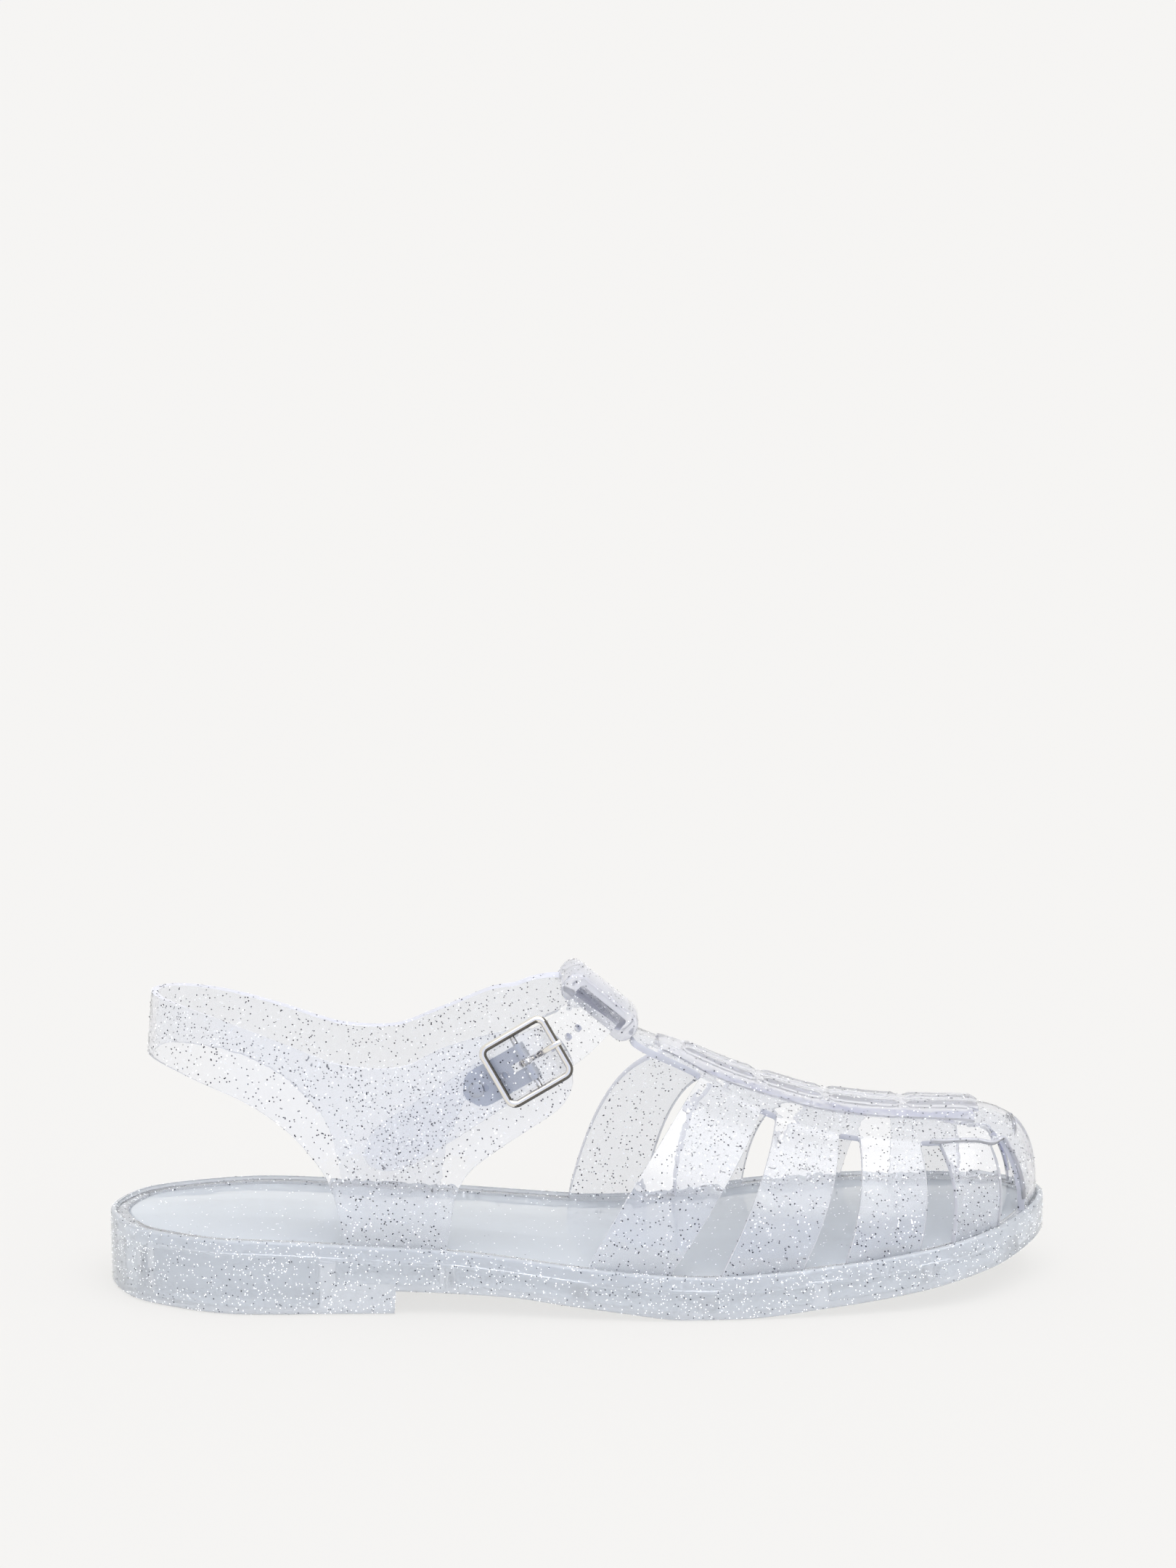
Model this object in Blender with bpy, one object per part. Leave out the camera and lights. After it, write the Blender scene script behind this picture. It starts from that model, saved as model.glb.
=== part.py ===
"""Clear jelly fisherman sandal, right foot. Metres, +X to the toe, +Y to the inner side, +Z up."""
import math

import bmesh
import bpy
import numpy as np
from mathutils import Matrix, Vector

# Main sizes
LENGTH = 0.255
BALL_WIDTH = 0.094
INSTEP_HEIGHT = 0.087
SOLE_HEIGHT = 0.0205
COLLAR_HEIGHT = 0.083

# Sole
LIP = 0.0014
REBATE = 0.0047
SOLE_WALL = 0.0024
SOLE_FLOOR = 0.0017
RIB = 0.0042
LONG_RIB = 0.0024
BAY_STEP = 0.011
HEEL_BREAST = 0.0765
SHANK_STEP = 0.0062
SOLE_STATIONS = 38
# Length over which the underside steps up at the heel breast, and the room kept to the next station
BREAST_STEP = 0.0004
BREAST_ROOM = 0.0006
END_WALL = 0.0032
# How far the bays run up past the rebate's floor
BAY_TOP = 0.0020

# Upper and insole
CLEAR = 0.0003
UPPER_WALL = 0.0021
RING_WIDTH = 0.0032
SHELL_INSET = LIP + CLEAR + 0.0002
RING_DROP = 0.0006
INSOLE_DROP = 0.0010
RIDGE_Y = 0.002
WALL_LEAN = 0.0068
FRONT_TUCK = 0.0055
FRONT_TUCK_X = 0.092
FRONT_TUCK_LENGTH = 0.0332
HEEL_BACK = 0.0110
HEEL_BACK_SLOPE = 0.09
HEEL_ARC_X = 0.050
# Power of the heel band's plan: 2 is an ellipse, more is squarer
HEEL_SQUARE = 2.15
# Share of COLLAR_HEIGHT at which the quarters reach WALL_LEAN
LEAN_LEVEL = 0.80
FOOT_SINK = 0.0030

# Spine strips
TOP_STRIP = 0.0130
TOP_RAISE = 0.0013
SIDE_STRIP = 0.0240
SIDE_RAISE = 0.0006
STRIP_SINK = 0.0009
STRIP_STEP = 0.0050
SIDE_STRIP_RUN = (0.585, 0.920)
TOP_STRIP_RUNS = [(0.613, 0.690), (0.697, 0.761), (0.768, 0.843), (0.850, 0.927)]

# Ankle strap, throat loop and buckle
STRAP_WIDTH = 0.0140
STRAP_WALL = 0.0019
LOOP_LENGTH = 0.0240
LOOP_HEIGHT = 0.0082
LOOP_WIDTH = 0.0190
LOOP_ROUND = 0.0034
SLOT_LENGTH = 0.0160
SLOT_HEIGHT = 0.0037
LOOP_TILT = math.radians(-40.0)
LOOP_EDGE = 0.0008
SLOT_ROUND = 0.0009
FRAME_LENGTH = 0.0184
FRAME_WIDTH = 0.0170
FRAME_BAR = 0.0017
FRAME_DEPTH = 0.0022
FRAME_CORNER = 0.0028
BAR = 0.0015
PRONG_WIDTH = 0.0015
PRONG_DEPTH = 0.0009
# Slack of prong and plate round the middle bar
BAR_SLACK = 0.00015
PLATE = 0.0005
PLATE_WIDTH = 0.0105
PLATE_LENGTH = 0.0185
RIVET_HEAD = 0.0042
RIVET_SHANK = 0.0022
RIVET_THICK = 0.00035
RIVET_EDGE = 0.0004
RIVET_BACK = 0.0150
HOLE = 0.0020
HOLE_PITCH = 0.0060
LONG_HOLE = 1.8
HOLE_AHEAD = 0.0048
HOLES_EACH_WAY = 3
# Levels over the outer quarter's face
FRAME_LEVEL = 0.0048
BAR_LEVEL = CLEAR + PRONG_DEPTH + BAR_SLACK + BAR / 2
BAR_DIP = 0.0010
BAR_BEND = 0.0008

# Plan outline from heel tip along the outer side to the toe tip, then back along the inner side.
# Columns: x as share of LENGTH, y as share of BALL_WIDTH
OUTLINE = [
    (0.000, 0.000), (0.018, -0.170), (0.056, -0.275), (0.130, -0.372), (0.245, -0.388),
    (0.356, -0.404), (0.472, -0.462), (0.560, -0.496), (0.640, -0.503), (0.733, -0.487),
    (0.833, -0.447), (0.885, -0.405), (0.937, -0.318), (0.972, -0.205), (0.993, -0.100),
    (1.000, 0.000), (0.991, 0.110), (0.968, 0.205), (0.940, 0.275), (0.884, 0.380), (0.795, 0.470),
    (0.735, 0.496), (0.685, 0.490), (0.635, 0.445), (0.585, 0.375), (0.510, 0.315), (0.430, 0.293),
    (0.340, 0.296), (0.242, 0.311), (0.143, 0.298), (0.055, 0.235), (0.018, 0.145),
]

# Height of the sole's rim. Columns: x as share of LENGTH, z as share of SOLE_HEIGHT
RIM = [
    (0.00, 0.990), (0.14, 1.000), (0.28, 0.905), (0.36, 0.850), (0.43, 0.775), (0.50, 0.680),
    (0.57, 0.610), (0.63, 0.575), (0.69, 0.600), (0.75, 0.660), (0.80, 0.710), (0.85, 0.785),
    (0.90, 0.860), (0.95, 0.950), (1.00, 1.060),
]

# Underside ahead of the heel. Columns: x as share of LENGTH, z as share of SHANK_STEP
UNDERSIDE = [
    (0.30, 1.00), (0.36, 0.91), (0.42, 0.83), (0.48, 0.55), (0.54, 0.27), (0.60, 0.00),
    (0.66, 0.00), (0.70, 0.10), (0.74, 0.28), (0.79, 0.48), (0.84, 0.74), (0.89, 1.05),
    (0.94, 1.38), (0.97, 1.62), (1.00, 1.90),
]

# Ribs seen in the sole's side, by x as share of LENGTH
RIB_PLACES = [0.042, 0.230, 0.356, 0.494, 0.625, 0.745, 0.860, 0.950]
# Lengthwise ribs, as shares of the way from the outer to the inner side
LONG_RIB_PLACES = [0.26, 0.50, 0.74]

# Crest of the upper. Columns: x as share of LENGTH, z as share of INSTEP_HEIGHT
RIDGE = [
    (0.50, 0.900), (0.53, 0.840), (0.57, 0.775), (0.61, 0.730), (0.66, 0.662), (0.70, 0.620),
    (0.76, 0.568), (0.84, 0.540), (0.89, 0.536),
]
DOME_START = 0.885
DOME_END = 0.9935
DOME_ALONG = 3.4
DOME_UP = 2.6
# Turn of a strap's curve from the foot to the spine, and the turn taken by the step up to the spine
RIB_TURN = math.radians(66)
STEP_TURN = math.radians(1.2)
STRAP_STEP = 0.0006
# How far each side's straps lean straight rather than sweep
STRAIGHT = {-1: 1.0, 1: 0.45}
SECTION_ACROSS = 1.75
SECTION_UP = 1.85
THROAT = 0.556
# Fan of columns round the toe tip: share of LENGTH at its centre, rear edge and tip, and its half
# width as a share of BALL_WIDTH
FAN_CENTRE = 0.935
FAN_REAR = 0.950
FAN_TIP = 0.966
FAN_HALF = 0.150
FAN_FOOT = 0.946

# Half width of the spine. Columns: x as share of LENGTH, share of BALL_WIDTH
SPINE = [
    (0.52, 0.103), (0.58, 0.108), (0.63, 0.140), (0.69, 0.195), (0.75, 0.222), (0.84, 0.228),
    (0.92, 0.205), (0.96, 0.150),
]

# Strap pairs. Columns, all shares of LENGTH: outer foot rear and front, outer top rear and front,
# inner foot rear and front, inner top rear and front
STRAPS = [
    (0.500, 0.587, 0.628, 0.690, 0.493, 0.576, 0.600, 0.658),
    (0.640, 0.727, 0.706, 0.772, 0.608, 0.688, 0.676, 0.738),
    (0.772, 0.852, 0.794, 0.858, 0.722, 0.800, 0.760, 0.822),
    (0.890, 0.943, 0.880, 0.936, 0.852, 0.925, 0.845, 0.915),
]

# Quarters. Columns: x as share of LENGTH, lower edge and upper edge as shares of COLLAR_HEIGHT
QUARTER = [
    (0.040, 0.790, 0.988), (0.070, 0.772, 0.976), (0.106, 0.735, 0.952), (0.149, 0.690, 0.912),
    (0.181, 0.630, 0.878), (0.200, 0.575, 0.855),
]
# Foot of the quarters. Columns: lower x, lower z (0 is down in the ring), upper x, upper z,
# as shares of LENGTH and COLLAR_HEIGHT
FOOT = [
    (0.214, 0.515, 0.212, 0.840), (0.224, 0.480, 0.222, 0.827), (0.234, 0.420, 0.231, 0.818),
    (0.242, 0.335, 0.239, 0.810), (0.247, 0.240, 0.246, 0.804), (0.250, 0.000, 0.253, 0.800),
    (0.272, 0.000, 0.270, 0.794), (0.295, 0.000, 0.286, 0.791), (0.318, 0.000, 0.301, 0.793),
    (0.338, 0.000, 0.315, 0.800), (0.356, 0.000, 0.329, 0.818),
]
# Outer quarter's lug. Columns: lower x, lower z, upper x, upper z, shares of LENGTH and COLLAR_HEIGHT
LUG = [
    (0.359, 0.350, 0.343, 0.845), (0.370, 0.440, 0.358, 0.862), (0.384, 0.488, 0.376, 0.880),
    (0.405, 0.535, 0.398, 0.897), (0.428, 0.582, 0.421, 0.914), (0.450, 0.625, 0.445, 0.922),
    (0.470, 0.660, 0.466, 0.900), (0.483, 0.700, 0.481, 0.850), (0.488, 0.745, 0.487, 0.800),
]
# Inner quarter's run into the ankle strap, same columns
RISE = [
    (0.360, 0.350, 0.347, 0.845), (0.373, 0.455, 0.360, 0.860), (0.388, 0.555, 0.378, 0.885),
    (0.405, 0.640, 0.398, 0.915), (0.425, 0.715, 0.414, 0.938),
]
# Ankle strap from the inner rise over the instep. Columns: x as share of LENGTH, y as share of
# BALL_WIDTH, z as share of INSTEP_HEIGHT
STRAP_OVER = [
    (0.446, 0.180, 0.834), (0.470, 0.164, 0.866), (0.496, 0.132, 0.888), (0.516, 0.085, 0.893),
    (0.525, 0.021, 0.888), (0.519, -0.080, 0.878), (0.502, -0.190, 0.862), (0.483, -0.285, 0.842),
]
# Ankle strap on the outer quarter. Columns: x as share of LENGTH, z as share of COLLAR_HEIGHT,
# height of its outer face over the quarter
STRAP_DOWN = [
    (0.466, 0.856, 0.0034), (0.438, 0.813, 0.00605), (0.410, 0.760, 0.0034),
    (0.378, 0.697, 0.0036), (0.341, 0.626, 0.0028), (0.304, 0.560, 0.0025), (0.272, 0.505, 0.0025),
]
LOOP_ROW = 4
BUCKLE_ROW = 1
FRAME_STEPS = 4
STRAP_TIP = 5
TIP_ROUND = 0.94
# Normal of the ankle strap at the sides of the instep, before scaling, and how it eases to them
SIDE_LEAN = (0.05, 0.38)
LEAN_REACH = 0.20
LEAN_POWER = 1.2


def smooth(table, x):
    """Smooth monotone curve through the rows of a two-column table."""
    xs = np.array([row[0] for row in table])
    ys = np.array([row[1] for row in table])
    x = np.clip(x, xs[0], xs[-1])
    step = np.diff(xs)
    slope = np.diff(ys) / step
    tangent = np.zeros(len(xs))
    tangent[0], tangent[-1] = slope[0], slope[-1]
    for i in range(1, len(xs) - 1):
        if slope[i - 1] * slope[i] > 0:
            tangent[i] = 2 * slope[i - 1] * slope[i] / (slope[i - 1] + slope[i])
    i = np.clip(np.searchsorted(xs, x) - 1, 0, len(step) - 1)
    t = (x - xs[i]) / step[i]
    rise = (2 * t**3 - 3 * t**2 + 1) * ys[i] + (3 * t**2 - 2 * t**3) * ys[i + 1]
    return rise + step[i] * ((t**3 - 2 * t**2 + t) * tangent[i] + (t**3 - t**2) * tangent[i + 1])


def curve(points, closed=False, steps=12):
    """Points along a smooth curve through the given points."""
    pts = [np.array(p, float) for p in points]
    count = len(pts)
    out = []
    for i in range(count if closed else count - 1):
        a = pts[(i - 1) % count] if closed or i > 0 else 2 * pts[0] - pts[1]
        b, c = pts[i], pts[(i + 1) % count]
        d = pts[(i + 2) % count] if closed or i < count - 2 else 2 * pts[-1] - pts[-2]
        for k in range(steps):
            t = k / steps
            out.append(0.5 * (2 * b + (c - a) * t + (2 * a - 5 * b + 4 * c - d) * t**2
                              + (3 * b - a - 3 * c + d) * t**3))
    if not closed:
        out.append(pts[-1])
    return np.array(out)


def plan_outline():
    """Outline as points from heel tip round to heel tip, with inward normals, centred in the box."""
    pts = curve([(x * LENGTH, y * BALL_WIDTH) for x, y in OUTLINE], closed=True)
    low, high = pts.min(axis=0), pts.max(axis=0)
    pts = (pts - (low + high) / 2)
    ahead = np.roll(pts, -1, axis=0) - np.roll(pts, 1, axis=0)
    normals = np.stack([-ahead[:, 1], ahead[:, 0]], axis=1)
    return pts, normals / np.linalg.norm(normals, axis=1)[:, None]


PLAN, PLAN_NORMALS = plan_outline()
OUTER, INNER = -1, 1


def side_line(side, inset):
    """One side of the inset outline from heel tip to toe tip."""
    pts = PLAN + PLAN_NORMALS * inset
    heel, toe = int(np.argmin(pts[:, 0])), int(np.argmax(pts[:, 0]))
    count = len(pts)
    if side == OUTER:
        order = [(heel + k) % count for k in range((toe - heel) % count + 1)]
    else:
        order = [(heel - k) % count for k in range((heel - toe) % count + 1)]
    return pts[order]


def edge_y(side, x, inset):
    """Where the inset outline lies on one side at x."""
    line = side_line(side, inset)
    return np.interp(x, line[:, 0], line[:, 1])


def run_point(side, share, inset):
    """Point at a share of the way from heel tip to toe tip along one side."""
    line = side_line(side, inset)
    run = np.concatenate([[0], np.cumsum(np.linalg.norm(np.diff(line, axis=0), axis=1))])
    at = share * run[-1]
    return np.array([np.interp(at, run, line[:, 0]), np.interp(at, run, line[:, 1])])


def run_share(side, x, inset):
    """Share of one side's run at which it reaches x."""
    line = side_line(side, inset)
    run = np.concatenate([[0], np.cumsum(np.linalg.norm(np.diff(line, axis=0), axis=1))])
    return np.interp(x, line[:, 0], run) / run[-1]


def station(share):
    """x of a share of LENGTH from the heel tip."""
    return share * LENGTH - LENGTH / 2


def share_of(x):
    return (x + LENGTH / 2) / LENGTH


def rim_z(x):
    return smooth(RIM, share_of(x)) * SOLE_HEIGHT


def under_z(x):
    return smooth(UNDERSIDE, share_of(x)) * SHANK_STEP


def ridge_z(x):
    """Height of the upper's crest, falling to the rim over the toe dome."""
    share = share_of(x)
    if share <= DOME_START:
        return smooth(RIDGE, share) * INSTEP_HEIGHT
    along = min((share - DOME_START) / (DOME_END - DOME_START), 1.0)
    top = smooth(RIDGE, DOME_START) * INSTEP_HEIGHT
    foot = rim_z(station(DOME_END))
    return foot + (top - foot) * (1 - along**DOME_ALONG) ** (1 / DOME_UP)


def vamp_z(x, y):
    """Height of the vamp's outer face over a plan point."""
    side = OUTER if y < RIDGE_Y else INNER
    edge = edge_y(side, x, SHELL_INSET)
    across = min(abs((y - RIDGE_Y) / (edge - RIDGE_Y)), 1.0)
    return rim_z(x) + (ridge_z(x) - rim_z(x)) * (1 - across**SECTION_ACROSS) ** (1 / SECTION_UP)


def material(name, color, roughness, metallic=0.0, transmission=0.0):
    mat = bpy.data.materials.new(name)
    mat.use_nodes = True
    bsdf = mat.node_tree.nodes["Principled BSDF"]
    bsdf.inputs["Base Color"].default_value = (*color, 1.0)
    bsdf.inputs["Roughness"].default_value = roughness
    bsdf.inputs["Metallic"].default_value = metallic
    bsdf.inputs["Transmission Weight"].default_value = transmission
    return mat


def new_object(name, verts, faces, mat=None):
    mesh = bpy.data.meshes.new(name)
    mesh.from_pydata([tuple(float(c) for c in v) for v in verts], [], faces)
    bm = bmesh.new()
    bm.from_mesh(mesh)
    bmesh.ops.remove_doubles(bm, verts=bm.verts, dist=1e-6)
    bmesh.ops.recalc_face_normals(bm, faces=bm.faces)
    bm.to_mesh(mesh)
    bm.free()
    obj = bpy.data.objects.new(name, mesh)
    bpy.context.scene.collection.objects.link(obj)
    if mat:
        mesh.materials.append(mat)
    return obj


def as_guide(obj):
    obj.hide_render = True
    obj.display_type = "WIRE"


def combine(obj, other, operation):
    mod = obj.modifiers.new(other.name, "BOOLEAN")
    mod.operation = operation
    mod.object = other
    mod.solver = "EXACT"
    as_guide(other)


def loft(name, sections, closed=False, mat=None):
    """Solid through rings of points; open lofts get end caps."""
    count = len(sections[0])
    verts = [p for ring in sections for p in ring]
    faces = []
    last = len(sections) if closed else len(sections) - 1
    for i in range(last):
        a, b = i * count, ((i + 1) % len(sections)) * count
        for k in range(count):
            faces.append((a + k, a + (k + 1) % count, b + (k + 1) % count, b + k))
    if not closed:
        faces.append(tuple(range(count))[::-1])
        faces.append(tuple(last * count + k for k in range(count)))
    return new_object(name, verts, faces, mat)


def slab(name, xs, outer_y, inner_y, low, high, mat=None):
    """Solid between two side lines and two heights that follow x."""
    rings = []
    for x in xs:
        a, b, z0, z1 = outer_y(x), inner_y(x), low(x), high(x)
        rings.append([(x, a, z0), (x, b, z0), (x, b, z1), (x, a, z1)])
    return loft(name, rings, mat=mat)


def sole_stations(inset, start=0.0, end=1.0, count=SOLE_STATIONS):
    """x places, closer together at the round ends."""
    heel = max(side_line(OUTER, inset)[0][0], station(start))
    toe = min(side_line(OUTER, inset)[-1][0], station(end))
    half = (toe - heel) / 2
    return [heel + half * (1 - math.cos(math.pi * (i + 0.35) / (count - 0.3))) for i in range(count)]


def outsole_piece(mat):
    """Heel block and shank in one, with a rebate for upper and insole and cored bays."""
    breast = station(HEEL_BREAST / LENGTH)
    heel_xs = [x for x in sole_stations(0) if x < breast - BREAST_ROOM]
    front_xs = [x for x in sole_stations(0) if x > breast + BREAST_ROOM]
    rings = []

    def ring(x, bottom):
        a, b = edge_y(OUTER, x, 0), edge_y(INNER, x, 0)
        return [(x, a, bottom), (x, b, bottom), (x, b, rim_z(x)), (x, a, rim_z(x))]

    for x in heel_xs + [breast - BREAST_STEP / 2]:
        rings.append(ring(x, 0.0))
    for x in [breast + BREAST_STEP / 2] + front_xs:
        rings.append(ring(x, under_z(x)))
    sole = loft("outsole", rings, mat=mat)

    rebate = slab("rebate", sole_stations(LIP), lambda x: edge_y(OUTER, x, LIP),
                  lambda x: edge_y(INNER, x, LIP), lambda x: rim_z(x) - REBATE,
                  lambda x: rim_z(x) + REBATE)
    combine(sole, rebate, "DIFFERENCE")

    verts, faces = [], []
    stops = [0.0] + RIB_PLACES + [1.0]
    for bay, (start, end) in enumerate(zip(stops, stops[1:])):
        first, final = bay == 0, bay == len(stops) - 2
        x0 = station(start) + (END_WALL if first else RIB / 2)
        x1 = station(end) - (END_WALL if final else RIB / 2)
        cuts = [0.0, 1.0] if first or final else [0.0] + LONG_RIB_PLACES + [1.0]
        for left, right in zip(cuts, cuts[1:]):
            add_bay(verts, faces, x0, x1, left, right)
    bays = new_object("bays", verts, faces)
    combine(sole, bays, "DIFFERENCE")
    return sole


def add_bay(verts, faces, x0, x1, left, right):
    """One cored bay between cross ribs and lengthwise ribs."""
    steps = max(2, round((x1 - x0) / BAY_STEP))
    base = len(verts)
    for i in range(steps + 1):
        x = x0 + (x1 - x0) * i / steps
        a, b = edge_y(OUTER, x, SOLE_WALL), edge_y(INNER, x, SOLE_WALL)
        y0 = a + (b - a) * left + (LONG_RIB / 2 if left > 0 else 0)
        y1 = a + (b - a) * right - (LONG_RIB / 2 if right < 1 else 0)
        in_heel = x1 < station(HEEL_BREAST / LENGTH)
        z0 = (0.0 if in_heel else under_z(x)) + SOLE_FLOOR
        z1 = rim_z(x) - REBATE + BAY_TOP
        verts += [(x, y0, z0), (x, y1, z0), (x, y1, z1), (x, y0, z1)]
    for i in range(steps):
        a, b = base + 4 * i, base + 4 * (i + 1)
        for k in range(4):
            faces.append((a + k, a + (k + 1) % 4, b + (k + 1) % 4, b + k))
    faces.append((base + 3, base + 2, base + 1, base))
    top = base + 4 * steps
    faces.append((top, top + 1, top + 2, top + 3))


def insole_piece(mat):
    inset = LIP + CLEAR + RING_WIDTH + CLEAR
    return slab("insole", sole_stations(inset), lambda x: edge_y(OUTER, x, inset),
                lambda x: edge_y(INNER, x, inset), lambda x: rim_z(x) - REBATE + CLEAR,
                lambda x: rim_z(x) - INSOLE_DROP, mat)


def base_ring():
    """Ring of the upper that sits in the sole's rebate, round the insole."""
    rings = []
    for side, shares in ((OUTER, np.linspace(0, 1, 57)[:-1]), (INNER, np.linspace(1, 0, 57)[:-1])):
        for share in shares:
            a = run_point(side, share, LIP + CLEAR)
            b = run_point(side, share, LIP + CLEAR + RING_WIDTH)
            rings.append([(*a, rim_z(a[0]) - REBATE + CLEAR), (*b, rim_z(b[0]) - REBATE + CLEAR),
                          (*b, rim_z(b[0]) - RING_DROP), (*a, rim_z(a[0]) - RING_DROP)])
    return loft("base_ring", rings, closed=True)


def column(foot_out, top_out, foot_in, top_in):
    """Foot runs and spine-edge points of one line across the vamp."""
    return {"foot_out": foot_out, "top_out": top_out, "foot_in": foot_in, "top_in": top_in}


def blend(a, b, t):
    return {key: a[key] + (b[key] - a[key]) * t for key in a}


def vamp_columns():
    """Lines across the vamp from throat to toe tip, each with the kind of cell that follows it."""
    lines = []
    edges = []
    for row in STRAPS:
        for k in (0, 1):
            fo, to, fi, ti = row[k], row[2 + k], row[4 + k], row[6 + k]
            top_out = np.array([station(to), RIDGE_Y - smooth(SPINE, to) * BALL_WIDTH])
            top_in = np.array([station(ti), RIDGE_Y + smooth(SPINE, ti) * BALL_WIDTH])
            edges.append(column(run_share(OUTER, station(fo), SHELL_INSET), top_out,
                                run_share(INNER, station(fi), SHELL_INSET), top_in))
    throat = dict(edges[0])
    throat["top_out"] = np.array([station(THROAT), RIDGE_Y - smooth(SPINE, THROAT) * BALL_WIDTH])
    throat["top_in"] = np.array([station(THROAT), RIDGE_Y + smooth(SPINE, THROAT) * BALL_WIDTH])
    for t in (0, 0.34, 0.67):
        lines.append((blend(throat, edges[0], t), "spine"))
    for i in range(len(STRAPS)):
        rear, front = edges[2 * i], edges[2 * i + 1]
        for t in (0, 0.25, 0.5, 0.75):
            lines.append((blend(rear, front, t), "strap"))
        if i < len(STRAPS) - 1:
            after = edges[2 * i + 2]
            for t in (0, 0.5):
                lines.append((blend(front, after, t), "spine"))
    band_top = np.array([station(FAN_REAR), FAN_HALF * BALL_WIDTH])
    band = column(FAN_FOOT, band_top * (1, -1) + (0, RIDGE_Y), FAN_FOOT, band_top + (0, RIDGE_Y))
    tip_top = np.array([station(FAN_TIP), RIDGE_Y])
    tip = column(1.0, tip_top, 1.0, tip_top)
    for t in (0, 0.5):
        lines.append((blend(edges[-1], band, t), "spine"))
    for t in (0, 0.25, 0.5, 0.75):
        cell = blend(band, tip, t)
        swing = math.radians(90 * t)
        for key, sign in (("top_out", -1), ("top_in", 1)):
            ahead = ((FAN_TIP - FAN_CENTRE) * math.sin(swing)
                     + (FAN_REAR - FAN_CENTRE) * math.cos(swing)) * LENGTH
            across = sign * FAN_HALF * BALL_WIDTH * math.cos(swing)
            cell[key] = np.array([station(FAN_CENTRE) + ahead, RIDGE_Y + across])
        lines.append((cell, "toe"))
    lines.append((tip, "end"))
    return lines


def vamp_shell():
    """Toe cap, spine and straps as one sheet of cells, given its wall by Solidify."""
    rise, across = 8, 6
    lines = vamp_columns()
    rows = []
    for line, kind in lines:
        row = []
        for side, foot, top in ((OUTER, line["foot_out"], line["top_out"]),
                                (INNER, line["foot_in"], line["top_in"])):
            base = run_point(side, foot, SHELL_INSET)
            nearby = run_point(side, max(foot - 0.004, 0), SHELL_INSET)
            beyond = run_point(side, min(foot + 0.004, 1), SHELL_INSET)
            run = (beyond - nearby) / np.linalg.norm(beyond - nearby)
            if kind == "end":
                run = np.array([0.0, 1.0])
            forward = run * run.dot(top - base)
            inward = top - base - forward
            step = 0.0 if kind in ("toe", "end") else STRAP_STEP
            within = inward / np.linalg.norm(inward)
            part = [(*(base + within * step), rim_z(base[0]) - FOOT_SINK)]
            turns = [RIB_TURN * k / rise for k in range(rise)] + [RIB_TURN - STEP_TURN, RIB_TURN]
            for turn in turns:
                sweep = (1 - math.cos(turn)) / (1 - math.cos(RIB_TURN))
                straight = math.sin(turn) / math.sin(RIB_TURN)
                ahead = sweep + (straight - sweep) * STRAIGHT[side]
                plan = base + forward * ahead + inward * sweep
                height = vamp_z(*plan) if turn > 0 else rim_z(base[0])
                sunk = step if turn < RIB_TURN else 0.0
                plan = plan + within * sunk * math.cos(turn)
                part.append((*plan, height - sunk * math.sin(turn)))
            row.append(part)
        middle = []
        a, b = line["top_out"], line["top_in"]
        for k in range(1, across):
            plan = a + (b - a) * k / across
            middle.append((*plan, vamp_z(*plan)))
        rows.append(row[0] + middle + row[1][::-1])
    verts = [p for row in rows for p in row]
    count = len(rows[0])
    faces = []
    for i in range(len(lines) - 1):
        kind = lines[i][1]
        for k in range(count - 1):
            on_spine = rise + 2 <= k < count - rise - 3
            if kind == "spine" and not on_spine:
                continue
            faces.append((i * count + k, i * count + k + 1, (i + 1) * count + k + 1, (i + 1) * count + k))
    sheet = new_object("vamp", verts, faces)
    return give_wall(sheet, UPPER_WALL, Vector((0, 0, 1)))


def give_wall(sheet, wall, outward):
    """Turn the sheet's faces outward and thicken it inward."""
    mesh = sheet.data
    top = max(mesh.polygons, key=lambda f: f.center.dot(outward))
    if top.normal.dot(outward) < 0:
        mesh.flip_normals()
    mod = sheet.modifiers.new("wall", "SOLIDIFY")
    mod.thickness = wall
    mod.offset = -1.0
    return sheet


def wall_point(side, x, z):
    """Outer face of the quarters at x and height z, which leans in above the rim."""
    above = max(z - SOLE_HEIGHT, 0) / (COLLAR_HEIGHT * LEAN_LEVEL - SOLE_HEIGHT)
    ahead = max(x - station(FRONT_TUCK_X / LENGTH), 0) / FRONT_TUCK_LENGTH
    lean = WALL_LEAN * above**2 + FRONT_TUCK * ahead**2 * min(above, 1.0)
    middle = (edge_y(OUTER, x, SHELL_INSET) + edge_y(INNER, x, SHELL_INSET)) / 2
    half = (edge_y(INNER, x, SHELL_INSET) - edge_y(OUTER, x, SHELL_INSET)) / 2 - lean
    return np.array([x, middle + side * half, z])


def heel_point(side, turn, z):
    """Outer face of the heel band: turn 0 where the sides start, 90 degrees at the back."""
    front = station(HEEL_ARC_X / LENGTH)
    back = station(HEEL_BACK / LENGTH) + HEEL_BACK_SLOPE * (z - LEAN_LEVEL * COLLAR_HEIGHT)
    start = wall_point(side, front, z)
    other = wall_point(-side, front, z)
    middle = (start[1] + other[1]) / 2
    power = 2 / HEEL_SQUARE
    x = front - (front - back) * math.sin(turn) ** power
    y = middle + (start[1] - middle) * max(math.cos(turn), 0.0) ** power
    return np.array([x, y, z])


def heights(low, high, rows):
    return [low + (high - low) * k / rows for k in range(rows + 1)]


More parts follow.
